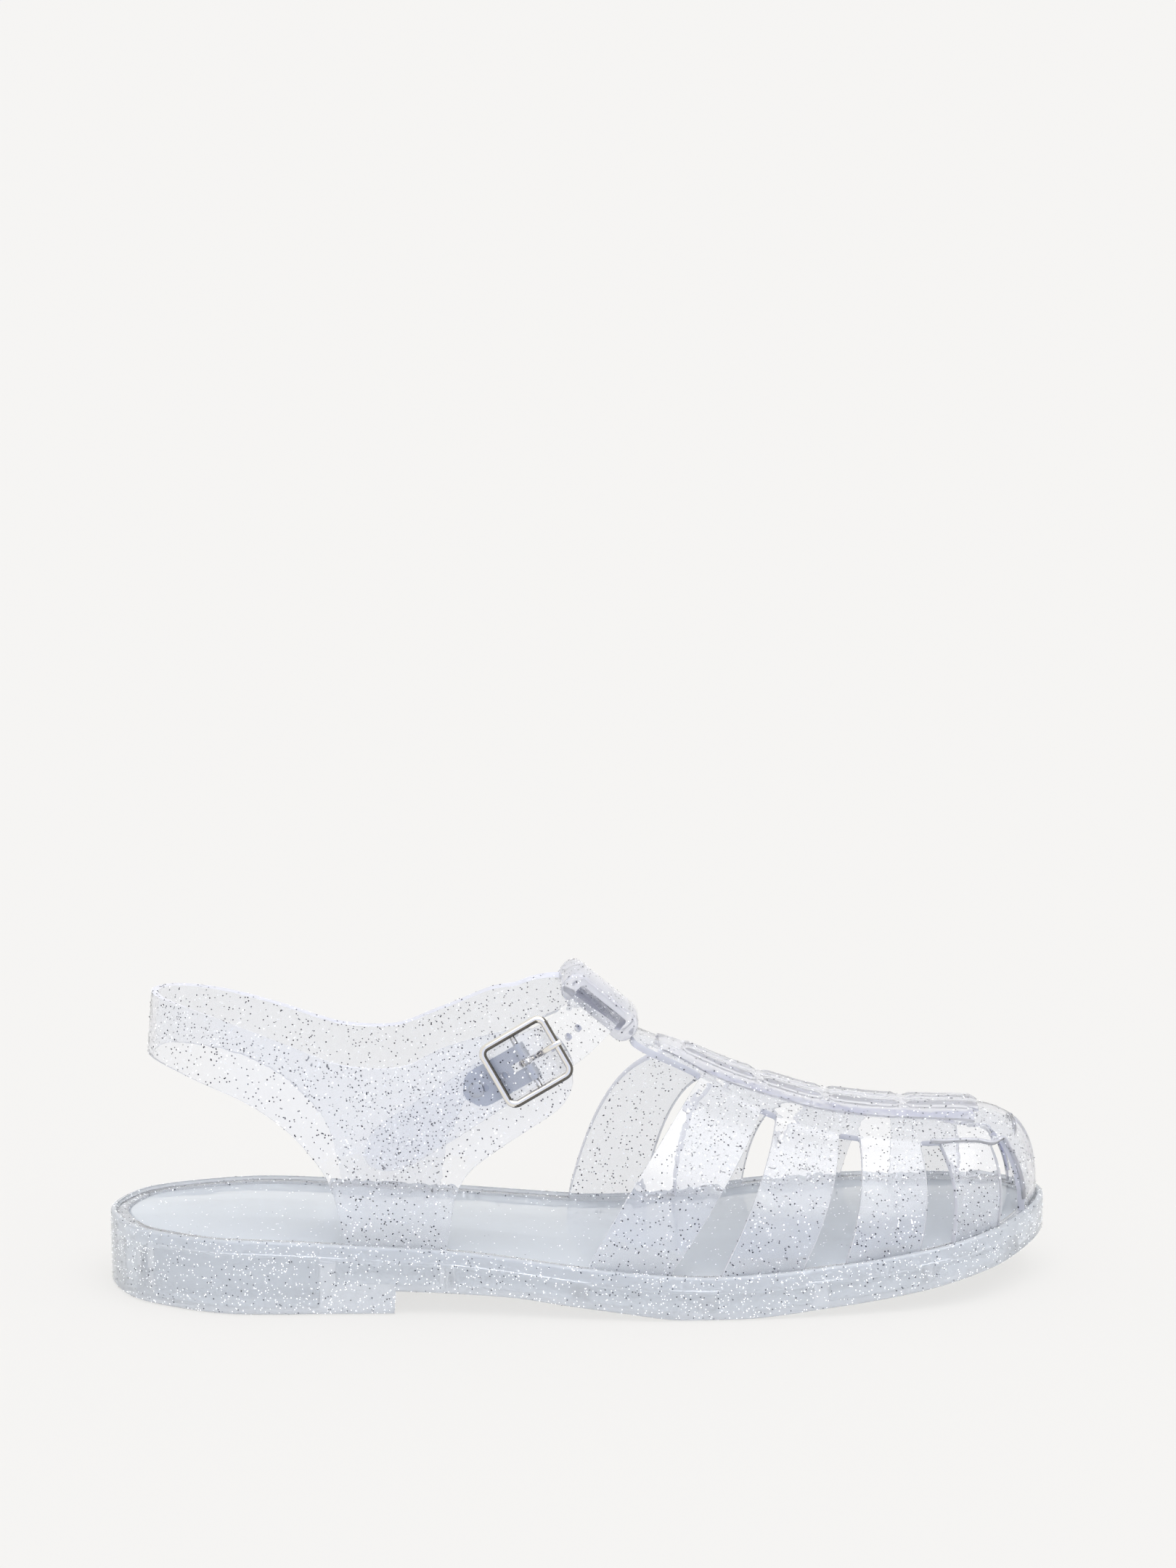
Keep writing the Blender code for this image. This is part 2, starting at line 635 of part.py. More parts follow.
def strap_frames():
    """Centre, normal and half width along the ankle strap, from inner side to free tip."""
    centres, normals = [], []
    for x, y, z in STRAP_OVER:
        centres.append(np.array([station(x), y * BALL_WIDTH, z * INSTEP_HEIGHT]))
    tilt = np.array([-math.sin(LOOP_TILT), 0, math.cos(LOOP_TILT)])
    for i, c in enumerate(centres):
        lean = (c[1] - RIDGE_Y) / (LEAN_REACH * BALL_WIDTH)
        away = np.array([SIDE_LEAN[0], np.sign(lean), SIDE_LEAN[1]])
        share = min(abs(lean), 1.0) ** LEAN_POWER
        n = tilt * (1 - share) + away * share
        normals.append(n / np.linalg.norm(n))
    for x, z, out in STRAP_DOWN:
        at = station(x)
        level = z * COLLAR_HEIGHT
        here = wall_point(OUTER, at, level)
        ahead = wall_point(OUTER, at + 0.002, level)
        above = wall_point(OUTER, at, level + 0.002)
        n = np.cross(ahead - here, above - here)
        n = n / np.linalg.norm(n)
        centres.append(here + n * out)
        normals.append(n)
    line = curve(centres, steps=FRAME_STEPS)
    lean = curve(normals, steps=FRAME_STEPS)
    frames = []
    for i in range(len(line)):
        before, after = line[max(i - 1, 0)], line[min(i + 1, len(line) - 1)]
        along = (after - before) / np.linalg.norm(after - before)
        n = lean[i] - along * lean[i].dot(along)
        n /= np.linalg.norm(n)
        frames.append((line[i], along, n))
    return frames


def quarter_band():
    """Outer lug, quarters, heel band and ankle strap as one ribbon."""
    rows = 5
    columns = []

    def slanted(side, row):
        xb, zb, xt, zt = row
        ground = rim_z(station(xb)) - FOOT_SINK
        low = np.array([station(xb), zb * COLLAR_HEIGHT if zb > 0 else ground])
        high = np.array([station(xt), zt * COLLAR_HEIGHT])
        return [wall_point(side, *(low + (high - low) * k / rows)) for k in range(rows + 1)]

    low_edge = [(row[0], row[1]) for row in QUARTER]
    high_edge = [(row[0], row[2]) for row in QUARTER]

    def round_heel(side, turn):
        x = share_of(heel_point(side, turn, 0.9 * COLLAR_HEIGHT)[0])
        low, high = smooth(low_edge, x) * COLLAR_HEIGHT, smooth(high_edge, x) * COLLAR_HEIGHT
        return [heel_point(side, turn, z) for z in heights(low, high, rows)]

    columns += [slanted(OUTER, row) for row in LUG[::-1]]
    columns += [slanted(OUTER, row) for row in FOOT[::-1]]
    turns = [math.radians(t) for t in (0, 14, 27, 39, 50, 60, 70, 80)]
    columns += [round_heel(OUTER, t) for t in turns]
    columns.append(round_heel(OUTER, math.radians(90)))
    columns += [round_heel(INNER, t) for t in turns[::-1]]
    columns += [slanted(INNER, row) for row in FOOT]
    columns += [slanted(INNER, row) for row in RISE]
    frames = strap_frames()
    for i, (centre, along, n) in enumerate(frames):
        across = np.cross(along, n)
        left = len(frames) - 1 - i
        reach = 1 - (1 - min(left / STRAP_TIP, 1.0)) ** 2 * TIP_ROUND
        half = STRAP_WIDTH / 2 * math.sqrt(reach)
        columns.append([centre + across * half * (2 * k / rows - 1) for k in range(rows + 1)])
    verts = [p for col in columns for p in col]
    count = rows + 1
    faces = []
    for i in range(len(columns) - 1):
        for k in range(rows):
            faces.append((i * count + k, i * count + k + 1, (i + 1) * count + k + 1, (i + 1) * count + k))
    sheet = new_object("quarters", verts, faces)
    return give_wall(sheet, STRAP_WALL, Vector((-1, 0, 0)))


def rounded_profile(length, height, corner, steps=4):
    """Rounded rectangle, centred."""
    pts = []
    for k, (sx, sy) in enumerate(((1, 1), (-1, 1), (-1, -1), (1, -1))):
        for i in range(steps + 1):
            turn = math.radians(90 * (k + i / steps))
            pts.append((sx * (length / 2 - corner) + corner * math.cos(turn),
                        sy * (height / 2 - corner) + corner * math.sin(turn)))
    return pts


def throat_loop():
    """Sleeve at the spine's end that the ankle strap passes through."""
    x, _, z = STRAP_OVER[LOOP_ROW]
    centre = Vector((station(x), RIDGE_Y, z * INSTEP_HEIGHT))
    centre -= Vector((-math.sin(LOOP_TILT), 0, math.cos(LOOP_TILT))) * STRAP_WALL / 2
    turn = Matrix.Rotation(-LOOP_TILT, 4, "Y")

    def sleeve(name, length, height, corner, width, narrow):
        rings = []
        for y, shrink in ((-0.5, narrow), (-0.46, 0), (-0.2, 0), (0.2, 0), (0.46, 0), (0.5, narrow)):
            ring = []
            for px, pz in rounded_profile(length - shrink, height - shrink, corner):
                droop = LOOP_EDGE * (2 * y) ** 2
                ring.append(centre + turn @ Vector((px, y * width, pz - droop)))
            rings.append(ring)
        return loft(name, rings)

    outer = sleeve("throat_loop", LOOP_LENGTH, LOOP_HEIGHT, LOOP_ROUND, LOOP_WIDTH, LOOP_EDGE)
    slot = sleeve("throat_slot", SLOT_LENGTH, SLOT_HEIGHT, SLOT_ROUND, LOOP_WIDTH * 1.2, 0)
    combine(outer, slot, "DIFFERENCE")
    return outer


def spine_strip(name, start, end, width, raise_by):
    """Raised strip along the crest."""
    rings = []
    steps = max(3, round((end - start) * LENGTH / STRIP_STEP))
    for i in range(steps + 1):
        x = station(start + (end - start) * i / steps)
        ring = []
        for k in range(5):
            y = RIDGE_Y + width * (k / 4 - 0.5)
            ring.append((x, y, vamp_z(x, y) + raise_by))
        for k in range(4, -1, -1):
            y = RIDGE_Y + width * (k / 4 - 0.5)
            ring.append((x, y, vamp_z(x, y) - STRIP_SINK))
        rings.append(ring)
    return loft(name, rings)


def upper_piece(mat):
    upper = base_ring()
    upper.name = upper.data.name = "upper"
    upper.data.materials.append(mat)
    combine(upper, vamp_shell(), "UNION")
    combine(upper, quarter_band(), "UNION")
    combine(upper, throat_loop(), "UNION")
    combine(upper, spine_strip("side_strip", *SIDE_STRIP_RUN, SIDE_STRIP, SIDE_RAISE), "UNION")
    for i, (start, end) in enumerate(TOP_STRIP_RUNS):
        combine(upper, spine_strip(f"top_strip_{i}", start, end, TOP_STRIP, TOP_RAISE), "UNION")
    combine(upper, strap_holes(), "DIFFERENCE")
    combine(upper, rivet_hole("lug_hole", -0.004, 0.0008), "DIFFERENCE")
    return upper


def buckle_axes():
    """Origin on the outer quarter under the buckle's middle bar, with the strap's direction there."""
    frames = strap_frames()
    centre, along, n = frames[FRAME_STEPS * (len(STRAP_OVER) + BUCKLE_ROW)]
    origin = centre - n * STRAP_DOWN[BUCKLE_ROW][2]
    across = np.cross(along, n)
    return origin, -along, across, n


def on_lug(back, level=0.0):
    """Function that places points on the lug at a distance back from the middle bar, along its face."""
    origin, along, across, n = buckle_axes()

    def face(a, b):
        flat = origin + along * a + across * b
        return wall_point(OUTER, flat[0], flat[2])

    here = face(-back, 0.0)
    run = face(-back + 0.001, 0.0) - face(-back - 0.001, 0.0)
    run /= np.linalg.norm(run)
    span = face(-back, 0.003) - face(-back, -0.003)
    up = np.cross(span, run)
    up *= np.sign(up.dot(n)) / np.linalg.norm(up)
    side = np.cross(up, run)
    side *= np.sign(side.dot(across))
    return lambda a, b, height: here + run * a + side * b + up * (height + level)


def strap_holes():
    """Row of prong holes through the ankle strap, the buckled one a little longer."""
    frames = strap_frames()
    line = np.array([f[0] for f in frames])
    run = np.concatenate([[0], np.cumsum(np.linalg.norm(np.diff(line, axis=0), axis=1))])
    middle = run[FRAME_STEPS * (len(STRAP_OVER) + BUCKLE_ROW)]
    verts, faces = [], []
    for k in range(-HOLES_EACH_WAY, HOLES_EACH_WAY + 1):
        at = middle - HOLE_AHEAD + k * HOLE_PITCH
        i = int(np.argmin(abs(run - at)))
        centre, along, n = frames[i]
        centre = centre + along * (at - run[i])
        across = np.cross(along, n)
        longer = LONG_HOLE if k == 0 else 1.0
        base = len(verts)
        for level in (0.0015, -0.0035):
            for j in range(12):
                turn = 2 * math.pi * j / 12
                verts.append(centre + n * level + along * (HOLE / 2 * longer * math.cos(turn))
                             + across * (HOLE / 2 * math.sin(turn)))
        faces.append(tuple(base + j for j in range(12)))
        faces.append(tuple(base + 12 + j for j in range(12))[::-1])
        for j in range(12):
            faces.append((base + j, base + (j + 1) % 12, base + 12 + (j + 1) % 12, base + 12 + j))
    return new_object("prong_holes", verts, faces)


def tube(name, path, radius_across, radius_up, closed=False, sides=8, up=None, mat=None):
    """Rod of elliptical section along a path, with its second radius along up."""
    rings = []
    count = len(path)
    for i, p in enumerate(path):
        before = path[(i - 1) % count] if closed or i else path[0]
        after = path[(i + 1) % count] if closed or i < count - 1 else path[-1]
        along = (after - before) / np.linalg.norm(after - before)
        lift = up - along * up.dot(along)
        lift /= np.linalg.norm(lift)
        side = np.cross(along, lift)
        rings.append([p + side * radius_across * math.cos(2 * math.pi * k / sides)
                      + lift * radius_up * math.sin(2 * math.pi * k / sides) for k in range(sides)])
    return loft(name, rings, closed=closed, mat=mat)


def buckle_pieces(metal, plate_metal):
    origin, along, across, n = buckle_axes()

    def place(a, b, level):
        return origin + along * a + across * b + n * level

    outline = rounded_profile(FRAME_LENGTH, FRAME_WIDTH, FRAME_CORNER, 4)
    ring = [place(a, b, FRAME_LEVEL) for a, b in outline]
    frame = tube("buckle_frame", ring, FRAME_BAR / 2, FRAME_DEPTH / 2, True, 8, n, metal)
    rail = FRAME_WIDTH / 2
    dips = [(-rail, FRAME_LEVEL), (-rail, BAR_LEVEL + BAR_DIP), (-rail + BAR_BEND, BAR_LEVEL),
            (rail - BAR_BEND, BAR_LEVEL), (rail, BAR_LEVEL + BAR_DIP), (rail, FRAME_LEVEL)]
    bar = tube("middle_bar", [place(0.0, b, level) for b, level in dips], BAR / 2, BAR / 2,
               False, 8, along, metal)
    combine(frame, bar, "UNION")

    grip = BAR / 2 + BAR_SLACK + PRONG_DEPTH / 2
    loop = []
    for k in range(6):
        turn = math.radians(215 - 250 * k / 5)
        loop.append(place(grip * math.cos(turn), 0.0, BAR_LEVEL + grip * math.sin(turn)))
    rest = FRAME_LEVEL + FRAME_DEPTH / 2 + 0.0001 + PRONG_DEPTH / 2
    half = FRAME_LENGTH / 2
    reach = [(0.28 * half, 0.35 * rest), (0.46 * half, 0.55 * rest), (0.60 * half, 0.84 * rest),
             (0.78 * half, 0.98 * rest), (half, rest), (half + 0.0012, rest - 0.0002)]
    path = list(curve(loop + [place(a, 0.0, level) for a, level in reach], steps=2))
    prong = tube("buckle_prong", path, PRONG_DEPTH / 2, PRONG_WIDTH / 2, False, 8, across, metal)
    plate = plate_piece(place, plate_metal)
    rivet = rivet_piece(plate_metal)
    return frame, prong, plate, rivet


def plate_piece(place, mat):
    """Plate on the lug, curled round the middle bar in two ears beside the prong."""
    half = PLATE_WIDTH / 2
    rings = []
    for k in range(13):
        a = -PLATE_LENGTH * (1 - k / 12) ** 1.3
        past = max(-a - (PLATE_LENGTH - half), 0.0)
        b = math.sqrt(max(half**2 - past**2, (0.2 * half) ** 2))
        spot = on_lug(-a)
        rings.append([spot(0, -b, CLEAR), spot(0, b, CLEAR),
                      spot(0, b, CLEAR + PLATE), spot(0, -b, CLEAR + PLATE)])
    outer, inner = BAR_LEVEL - CLEAR, BAR_LEVEL - CLEAR - PLATE
    for k in range(1, 10):
        turn = math.radians(270 + 215 * k / 9)
        spots = [(outer, -half), (outer, half), (inner, half), (inner, -half)]
        rings.append([place(r * math.cos(turn), b, BAR_LEVEL + r * math.sin(turn)) for r, b in spots])
    plate = loft("buckle_plate", rings, mat=mat)
    gap = PRONG_WIDTH / 2 + CLEAR
    corners = [(-0.0036, -gap), (0.0040, -gap), (0.0040, gap), (-0.0036, gap)]
    slot = loft("prong_slot", [[place(a, b, level) for a, b in corners] for level in (-0.001, 0.007)])
    combine(plate, slot, "DIFFERENCE")
    combine(plate, rivet_hole("plate_hole", -0.001, 0.0016), "DIFFERENCE")
    return plate


def round_rings(profile, sides=12):
    """Rings round the rivet's axis, from rows of radius and level."""
    spot = on_lug(RIVET_BACK)
    turns = [2 * math.pi * k / sides for k in range(sides)]
    return [[spot(r * math.cos(t), r * math.sin(t), level) for t in turns] for r, level in profile]


def rivet_hole(name, low, high):
    radius = RIVET_SHANK / 2 + CLEAR
    return loft(name, round_rings([(radius, low), (radius, high)]))


def rivet_piece(mat):
    """Rivet through plate and lug."""
    head, shank = RIVET_HEAD / 2, RIVET_SHANK / 2
    top = CLEAR + PLATE + CLEAR
    low = -STRAP_WALL - CLEAR
    profile = [(head - RIVET_EDGE, low - RIVET_THICK), (head, low - RIVET_THICK / 2), (head, low),
               (shank, low), (shank, top), (head, top), (head, top + RIVET_THICK / 2),
               (head - RIVET_EDGE, top + RIVET_THICK)]
    return loft("buckle_rivet", round_rings(profile), mat=mat)


def main():
    for obj in list(bpy.data.objects):
        bpy.data.objects.remove(obj, do_unlink=True)
    clear = material("clear_jelly", (0.88, 0.90, 0.94), 0.12, 0.0, 0.85)
    sole_clear = material("clear_sole", (0.80, 0.84, 0.90), 0.15, 0.0, 0.80)
    bed = material("clear_insole", (0.84, 0.88, 0.92), 0.25, 0.0, 0.75)
    nickel = material("polished_nickel", (0.80, 0.78, 0.74), 0.12, 1.0)
    steel = material("plate_steel", (0.62, 0.64, 0.67), 0.30, 1.0)
    outsole_piece(sole_clear)
    insole_piece(bed)
    upper_piece(clear)
    buckle_pieces(nickel, steel)


main()
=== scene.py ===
"""Looks of the clear glitter fisherman sandal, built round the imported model."""
import math

import bmesh
import bpy
import numpy as np
from mathutils import Matrix, Vector
from mathutils.bvhtree import BVHTree


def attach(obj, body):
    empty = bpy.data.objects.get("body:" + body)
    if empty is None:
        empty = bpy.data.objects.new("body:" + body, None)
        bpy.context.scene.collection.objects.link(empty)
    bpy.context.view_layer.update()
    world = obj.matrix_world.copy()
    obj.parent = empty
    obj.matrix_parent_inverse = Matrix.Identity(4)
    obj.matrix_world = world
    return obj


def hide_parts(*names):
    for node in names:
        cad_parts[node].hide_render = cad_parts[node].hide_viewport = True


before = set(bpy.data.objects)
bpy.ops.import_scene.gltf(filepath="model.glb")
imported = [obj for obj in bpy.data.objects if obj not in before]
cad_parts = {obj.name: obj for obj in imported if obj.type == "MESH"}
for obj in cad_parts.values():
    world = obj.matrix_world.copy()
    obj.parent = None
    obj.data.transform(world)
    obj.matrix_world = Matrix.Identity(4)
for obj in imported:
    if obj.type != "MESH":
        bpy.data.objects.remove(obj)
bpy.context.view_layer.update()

# Main sizes
LENGTH = 0.255
BALL_WIDTH = 0.094
INSTEP_HEIGHT = 0.087
SOLE_HEIGHT = 0.0205
COLLAR_HEIGHT = 0.083

# Sole
LIP = 0.0014
REBATE = 0.0047
SOLE_WALL = 0.0024
SOLE_FLOOR = 0.0017
RIB = 0.0042
LONG_RIB = 0.0024
BAY_STEP = 0.011
HEEL_BREAST = 0.0765
SHANK_STEP = 0.0062
SOLE_STATIONS = 120
# Share of a station's spacing kept free at the heel and toe tips
END_SHARE = 0.12
SOLE_EDGE = 0.0009
BED_EDGE = 0.0006
# Length over which the underside steps up at the heel breast, and the room kept to the next station
BREAST_STEP = 0.0004
BREAST_ROOM = 0.0006
END_WALL = 0.0032
# How far the bays run up past the rebate's floor
BAY_TOP = 0.0020
BAY_EDGE = 0.0008

# Upper and insole
CLEAR = 0.0003
UPPER_WALL = 0.0021
RING_WIDTH = 0.0032
SHELL_INSET = LIP + CLEAR + 0.0002
RING_DROP = 0.0006
RING_EDGE = 0.0004
RING_POINTS = 141
INSOLE_DROP = 0.0010
RIDGE_Y = 0.002
WALL_LEAN = 0.0068
FRONT_TUCK = 0.0055
FRONT_TUCK_X = 0.092
FRONT_TUCK_LENGTH = 0.0332
HEEL_BACK = 0.0110
HEEL_BACK_SLOPE = 0.09
HEEL_ARC_X = 0.050
# Power of the heel band's plan: 2 is an ellipse, more is squarer
HEEL_SQUARE = 2.15
# Share of COLLAR_HEIGHT at which the quarters reach WALL_LEAN
LEAN_LEVEL = 0.80
# Share of COLLAR_HEIGHT at which the heel band's columns take their x
BAND_LEVEL = 0.9
# Distance, and share of a side's run, over which a direction is taken
WALL_REACH = 0.002
RUN_REACH = 0.004
QUARTER_ROWS = 5
# Degrees round the heel band, short of its back
HEEL_TURNS = (0, 14, 27, 39, 50, 60, 70, 80)
FOOT_SINK = 0.0030

# Spine strips
TOP_STRIP = 0.0130
TOP_RAISE = 0.0013
SIDE_STRIP = 0.0240
SIDE_RAISE = 0.0006
STRIP_SINK = 0.0009
# Spacing of a strip's sections, over which its ends rise, and their share of its height
STRIP_PITCH = 0.0015
STRIP_END = 0.55
# Width over which a strip's sides rise, and the share of its height that they start from
STRIP_BEVEL = 0.0008
STRIP_SIDE = 0.7
RIDGE_DEPTH = 0.00018
SPINE_MARGIN = 0.0014
SIDE_STRIP_RUN = (0.585, 0.920)
TOP_STRIP_RUNS = [(0.613, 0.690), (0.697, 0.761), (0.768, 0.843), (0.850, 0.927)]

# Ankle strap, throat loop and buckle
STRAP_WIDTH = 0.0140
STRAP_WALL = 0.0019
LOOP_LENGTH = 0.0240
LOOP_HEIGHT = 0.0082
LOOP_WIDTH = 0.0190
LOOP_ROUND = 0.0034
SLOT_LENGTH = 0.0160
SLOT_HEIGHT = 0.0037
LOOP_TILT = math.radians(-40.0)
LOOP_EDGE = 0.0008
# Sections across the loop, and the share of its width that narrows at a side
LOOP_SECTIONS = 21
LOOP_TAPER = 0.04
SLOT_ROUND = 0.0009
SLOT_OVER = 1.2
FRAME_LENGTH = 0.0184
FRAME_WIDTH = 0.0170
FRAME_BAR = 0.0020
FRAME_DEPTH = 0.0022
FRAME_CORNER = 0.0021
BAR = 0.0015
PRONG_WIDTH = 0.0015
PRONG_DEPTH = 0.0009
# Slack of prong and plate round the middle bar
BAR_SLACK = 0.00015
PRONG_SLACK = 0.0001
# Prong's turns round the middle bar in degrees, and its rise from there to the front bar.
# Columns: shares of half FRAME_LENGTH and of its level over the front bar
PRONG_TURNS = (215, 165, 115, 65, 15, -35)
PRONG_REACH = [(0.28, 0.35), (0.46, 0.55), (0.60, 0.84), (0.78, 0.98), (1.00, 1.00)]
# How far its tip goes past the front bar, and drops there
PRONG_TIP = 0.0012
TIP_DROP = 0.0002
# Plate's slot for the prong: its ends, and the levels that it is cut between
PRONG_SLOT = (-0.0036, 0.0040)
PRONG_SLOT_LEVELS = (-0.001, 0.007)
PLATE = 0.0005
PLATE_WIDTH = 0.0105
PLATE_LENGTH = 0.0185
# Share of its half width left at the plate's end, and how its sections gather toward the bar
PLATE_TIP = 0.2
PLATE_EASE = 1.3
PLATE_CURL = 215
RIVET_HEAD = 0.0042
RIVET_SHANK = 0.0022
RIVET_THICK = 0.00035
RIVET_EDGE = 0.0004
RIVET_BACK = 0.0150
RIVET_SOFT = 0.0001
# Levels that the rivet's holes are cut between
LUG_HOLE = (-0.004, 0.0008)
PLATE_HOLE = (-0.001, 0.0016)
# Distances over which the lug's direction is taken
LUG_REACH = 0.001
LUG_SPAN = 0.003
HOLE = 0.0020
HOLE_SIDES = 12
# Levels that the strap's holes are cut between
HOLE_LEVELS = (0.0015, -0.0035)
HOLE_PITCH = 0.0060
LONG_HOLE = 1.8
HOLE_AHEAD = 0.0048
HOLES_EACH_WAY = 3
# Levels over the outer quarter's face
FRAME_LEVEL = 0.0048
BAR_LEVEL = CLEAR + PRONG_DEPTH + BAR_SLACK + BAR / 2
BAR_DIP = 0.0010
BAR_BEND = 0.0008

# Plan outline from heel tip along the outer side to the toe tip, then back along the inner side.
# Columns: x as share of LENGTH, y as share of BALL_WIDTH
OUTLINE = [
    (0.000, 0.000), (0.018, -0.170), (0.056, -0.275), (0.130, -0.372), (0.245, -0.388),
    (0.356, -0.404), (0.472, -0.462), (0.560, -0.496), (0.640, -0.503), (0.733, -0.487),
    (0.833, -0.447), (0.885, -0.405), (0.937, -0.318), (0.972, -0.205), (0.993, -0.100),
    (1.000, 0.000), (0.991, 0.110), (0.968, 0.205), (0.940, 0.275), (0.884, 0.380), (0.795, 0.470),
    (0.735, 0.496), (0.685, 0.490), (0.635, 0.445), (0.585, 0.375), (0.510, 0.315), (0.430, 0.293),
    (0.340, 0.296), (0.242, 0.311), (0.143, 0.298), (0.055, 0.235), (0.018, 0.145),
]

# Height of the sole's rim. Columns: x as share of LENGTH, z as share of SOLE_HEIGHT
RIM = [
    (0.00, 0.990), (0.14, 1.000), (0.28, 0.905), (0.36, 0.850), (0.43, 0.775), (0.50, 0.680),
    (0.57, 0.610), (0.63, 0.575), (0.69, 0.600), (0.75, 0.660), (0.80, 0.710), (0.85, 0.785),
    (0.90, 0.860), (0.95, 0.950), (1.00, 1.060),
]

# Underside ahead of the heel. Columns: x as share of LENGTH, z as share of SHANK_STEP
UNDERSIDE = [
    (0.30, 1.00), (0.36, 0.91), (0.42, 0.83), (0.48, 0.55), (0.54, 0.27), (0.60, 0.00),
    (0.66, 0.00), (0.70, 0.10), (0.74, 0.28), (0.79, 0.48), (0.84, 0.74), (0.89, 1.05),
    (0.94, 1.38), (0.97, 1.62), (1.00, 1.90),
]

# Ribs seen in the sole's side, by x as share of LENGTH
RIB_PLACES = [0.042, 0.230, 0.356, 0.494, 0.625, 0.745, 0.860, 0.950]
# Lengthwise ribs, as shares of the way from the outer to the inner side
LONG_RIB_PLACES = [0.26, 0.50, 0.74]

# Crest of the upper. Columns: x as share of LENGTH, z as share of INSTEP_HEIGHT
RIDGE = [
    (0.50, 0.900), (0.53, 0.840), (0.57, 0.775), (0.61, 0.730), (0.66, 0.662), (0.70, 0.620),
    (0.76, 0.568), (0.84, 0.540), (0.89, 0.536),
]
# Toe dome: its ends as shares of LENGTH, and the powers of its curve
DOME_START = 0.885
DOME_END = 0.9935
DOME_ALONG = 3.4
DOME_UP = 2.6
# Turn of a strap's curve from the foot to the spine, and the turn taken by the step up to the spine
RIB_TURN = math.radians(66)
STEP_TURN = math.radians(1.2)
STRAP_STEP = 0.0006
# How far each side's straps lean straight rather than sweep
STRAIGHT = {-1: 1.0, 1: 0.45}
# Powers of the vamp's section
SECTION_ACROSS = 1.75
SECTION_UP = 1.85
THROAT = 0.556
# Fan of columns round the toe tip: its centre, rear edge and tip as shares of LENGTH, its half
# width as a share of BALL_WIDTH, and its foot as a share of a side's run
FAN_CENTRE = 0.935
FAN_REAR = 0.950
FAN_TIP = 0.966
FAN_HALF = 0.150
FAN_FOOT = 0.946
# Cells of a strap from its foot to the spine, and cells across the spine
VAMP_RISE, VAMP_ACROSS = 8, 6
# Bead on the toe cap's edge, and the way its face looks: forward, to its side and up
RIM_BEAD = 0.0007
RIM_WAY = (0.08, 0.99, 0.11)
# Crease that keeps the straps' cut edges from rounding away when the sheet is smoothed
CUT_CREASE = 0.62

# Half width of the spine. Columns: x as share of LENGTH, share of BALL_WIDTH
SPINE = [
    (0.52, 0.103), (0.58, 0.108), (0.63, 0.140), (0.69, 0.195), (0.75, 0.222), (0.84, 0.228),
    (0.92, 0.205), (0.96, 0.150),
]

# Strap pairs. Columns, all shares of LENGTH: outer foot rear and front, outer top rear and front,
# inner foot rear and front, inner top rear and front
STRAPS = [
    (0.500, 0.587, 0.628, 0.690, 0.493, 0.576, 0.600, 0.658),
    (0.640, 0.727, 0.706, 0.772, 0.608, 0.688, 0.676, 0.738),
    (0.772, 0.852, 0.794, 0.858, 0.722, 0.800, 0.760, 0.822),
    (0.890, 0.943, 0.880, 0.936, 0.852, 0.925, 0.845, 0.915),
]

# Quarters. Columns: x as share of LENGTH, lower edge and upper edge as shares of COLLAR_HEIGHT
QUARTER = [
    (0.040, 0.790, 0.988), (0.070, 0.772, 0.976), (0.106, 0.735, 0.952), (0.149, 0.690, 0.912),
    (0.181, 0.630, 0.878), (0.200, 0.575, 0.855),
]
# Foot of the quarters. Columns: lower x, lower z (0 is down in the ring), upper x, upper z,
# as shares of LENGTH and COLLAR_HEIGHT
FOOT = [
    (0.214, 0.515, 0.212, 0.840), (0.224, 0.480, 0.222, 0.827), (0.234, 0.420, 0.231, 0.818),
    (0.242, 0.335, 0.239, 0.810), (0.247, 0.240, 0.246, 0.804), (0.250, 0.000, 0.253, 0.800),
    (0.272, 0.000, 0.270, 0.794), (0.295, 0.000, 0.286, 0.791), (0.318, 0.000, 0.301, 0.793),
    (0.338, 0.000, 0.315, 0.800), (0.356, 0.000, 0.329, 0.818),
]
# Outer quarter's lug. Columns: lower x, lower z, upper x, upper z, shares of LENGTH and COLLAR_HEIGHT
LUG = [
    (0.359, 0.350, 0.343, 0.845), (0.370, 0.440, 0.358, 0.862), (0.384, 0.488, 0.376, 0.880),
    (0.405, 0.535, 0.398, 0.897), (0.428, 0.582, 0.421, 0.914), (0.450, 0.625, 0.445, 0.922),
    (0.470, 0.660, 0.466, 0.900), (0.483, 0.700, 0.481, 0.850), (0.488, 0.745, 0.487, 0.800),
]
# Inner quarter's run into the ankle strap, same columns
RISE = [
    (0.360, 0.350, 0.347, 0.845), (0.373, 0.455, 0.360, 0.860), (0.388, 0.555, 0.378, 0.885),
    (0.405, 0.640, 0.398, 0.915), (0.425, 0.715, 0.414, 0.938),
]
# Ankle strap from the inner rise over the instep. Columns: x as share of LENGTH, y as share of
# BALL_WIDTH, z as share of INSTEP_HEIGHT
STRAP_OVER = [
    (0.446, 0.180, 0.834), (0.470, 0.164, 0.866), (0.496, 0.132, 0.888), (0.516, 0.085, 0.893),
    (0.525, 0.021, 0.888), (0.519, -0.080, 0.878), (0.502, -0.190, 0.862), (0.483, -0.285, 0.842),
]
# Ankle strap on the outer quarter. Columns: x as share of LENGTH, z as share of COLLAR_HEIGHT,
# height of its outer face over the quarter
STRAP_DOWN = [
    (0.466, 0.856, 0.0034), (0.438, 0.813, 0.00605), (0.410, 0.760, 0.0034),
    (0.378, 0.697, 0.0036), (0.341, 0.626, 0.0028), (0.304, 0.560, 0.0025), (0.272, 0.505, 0.0025),
]
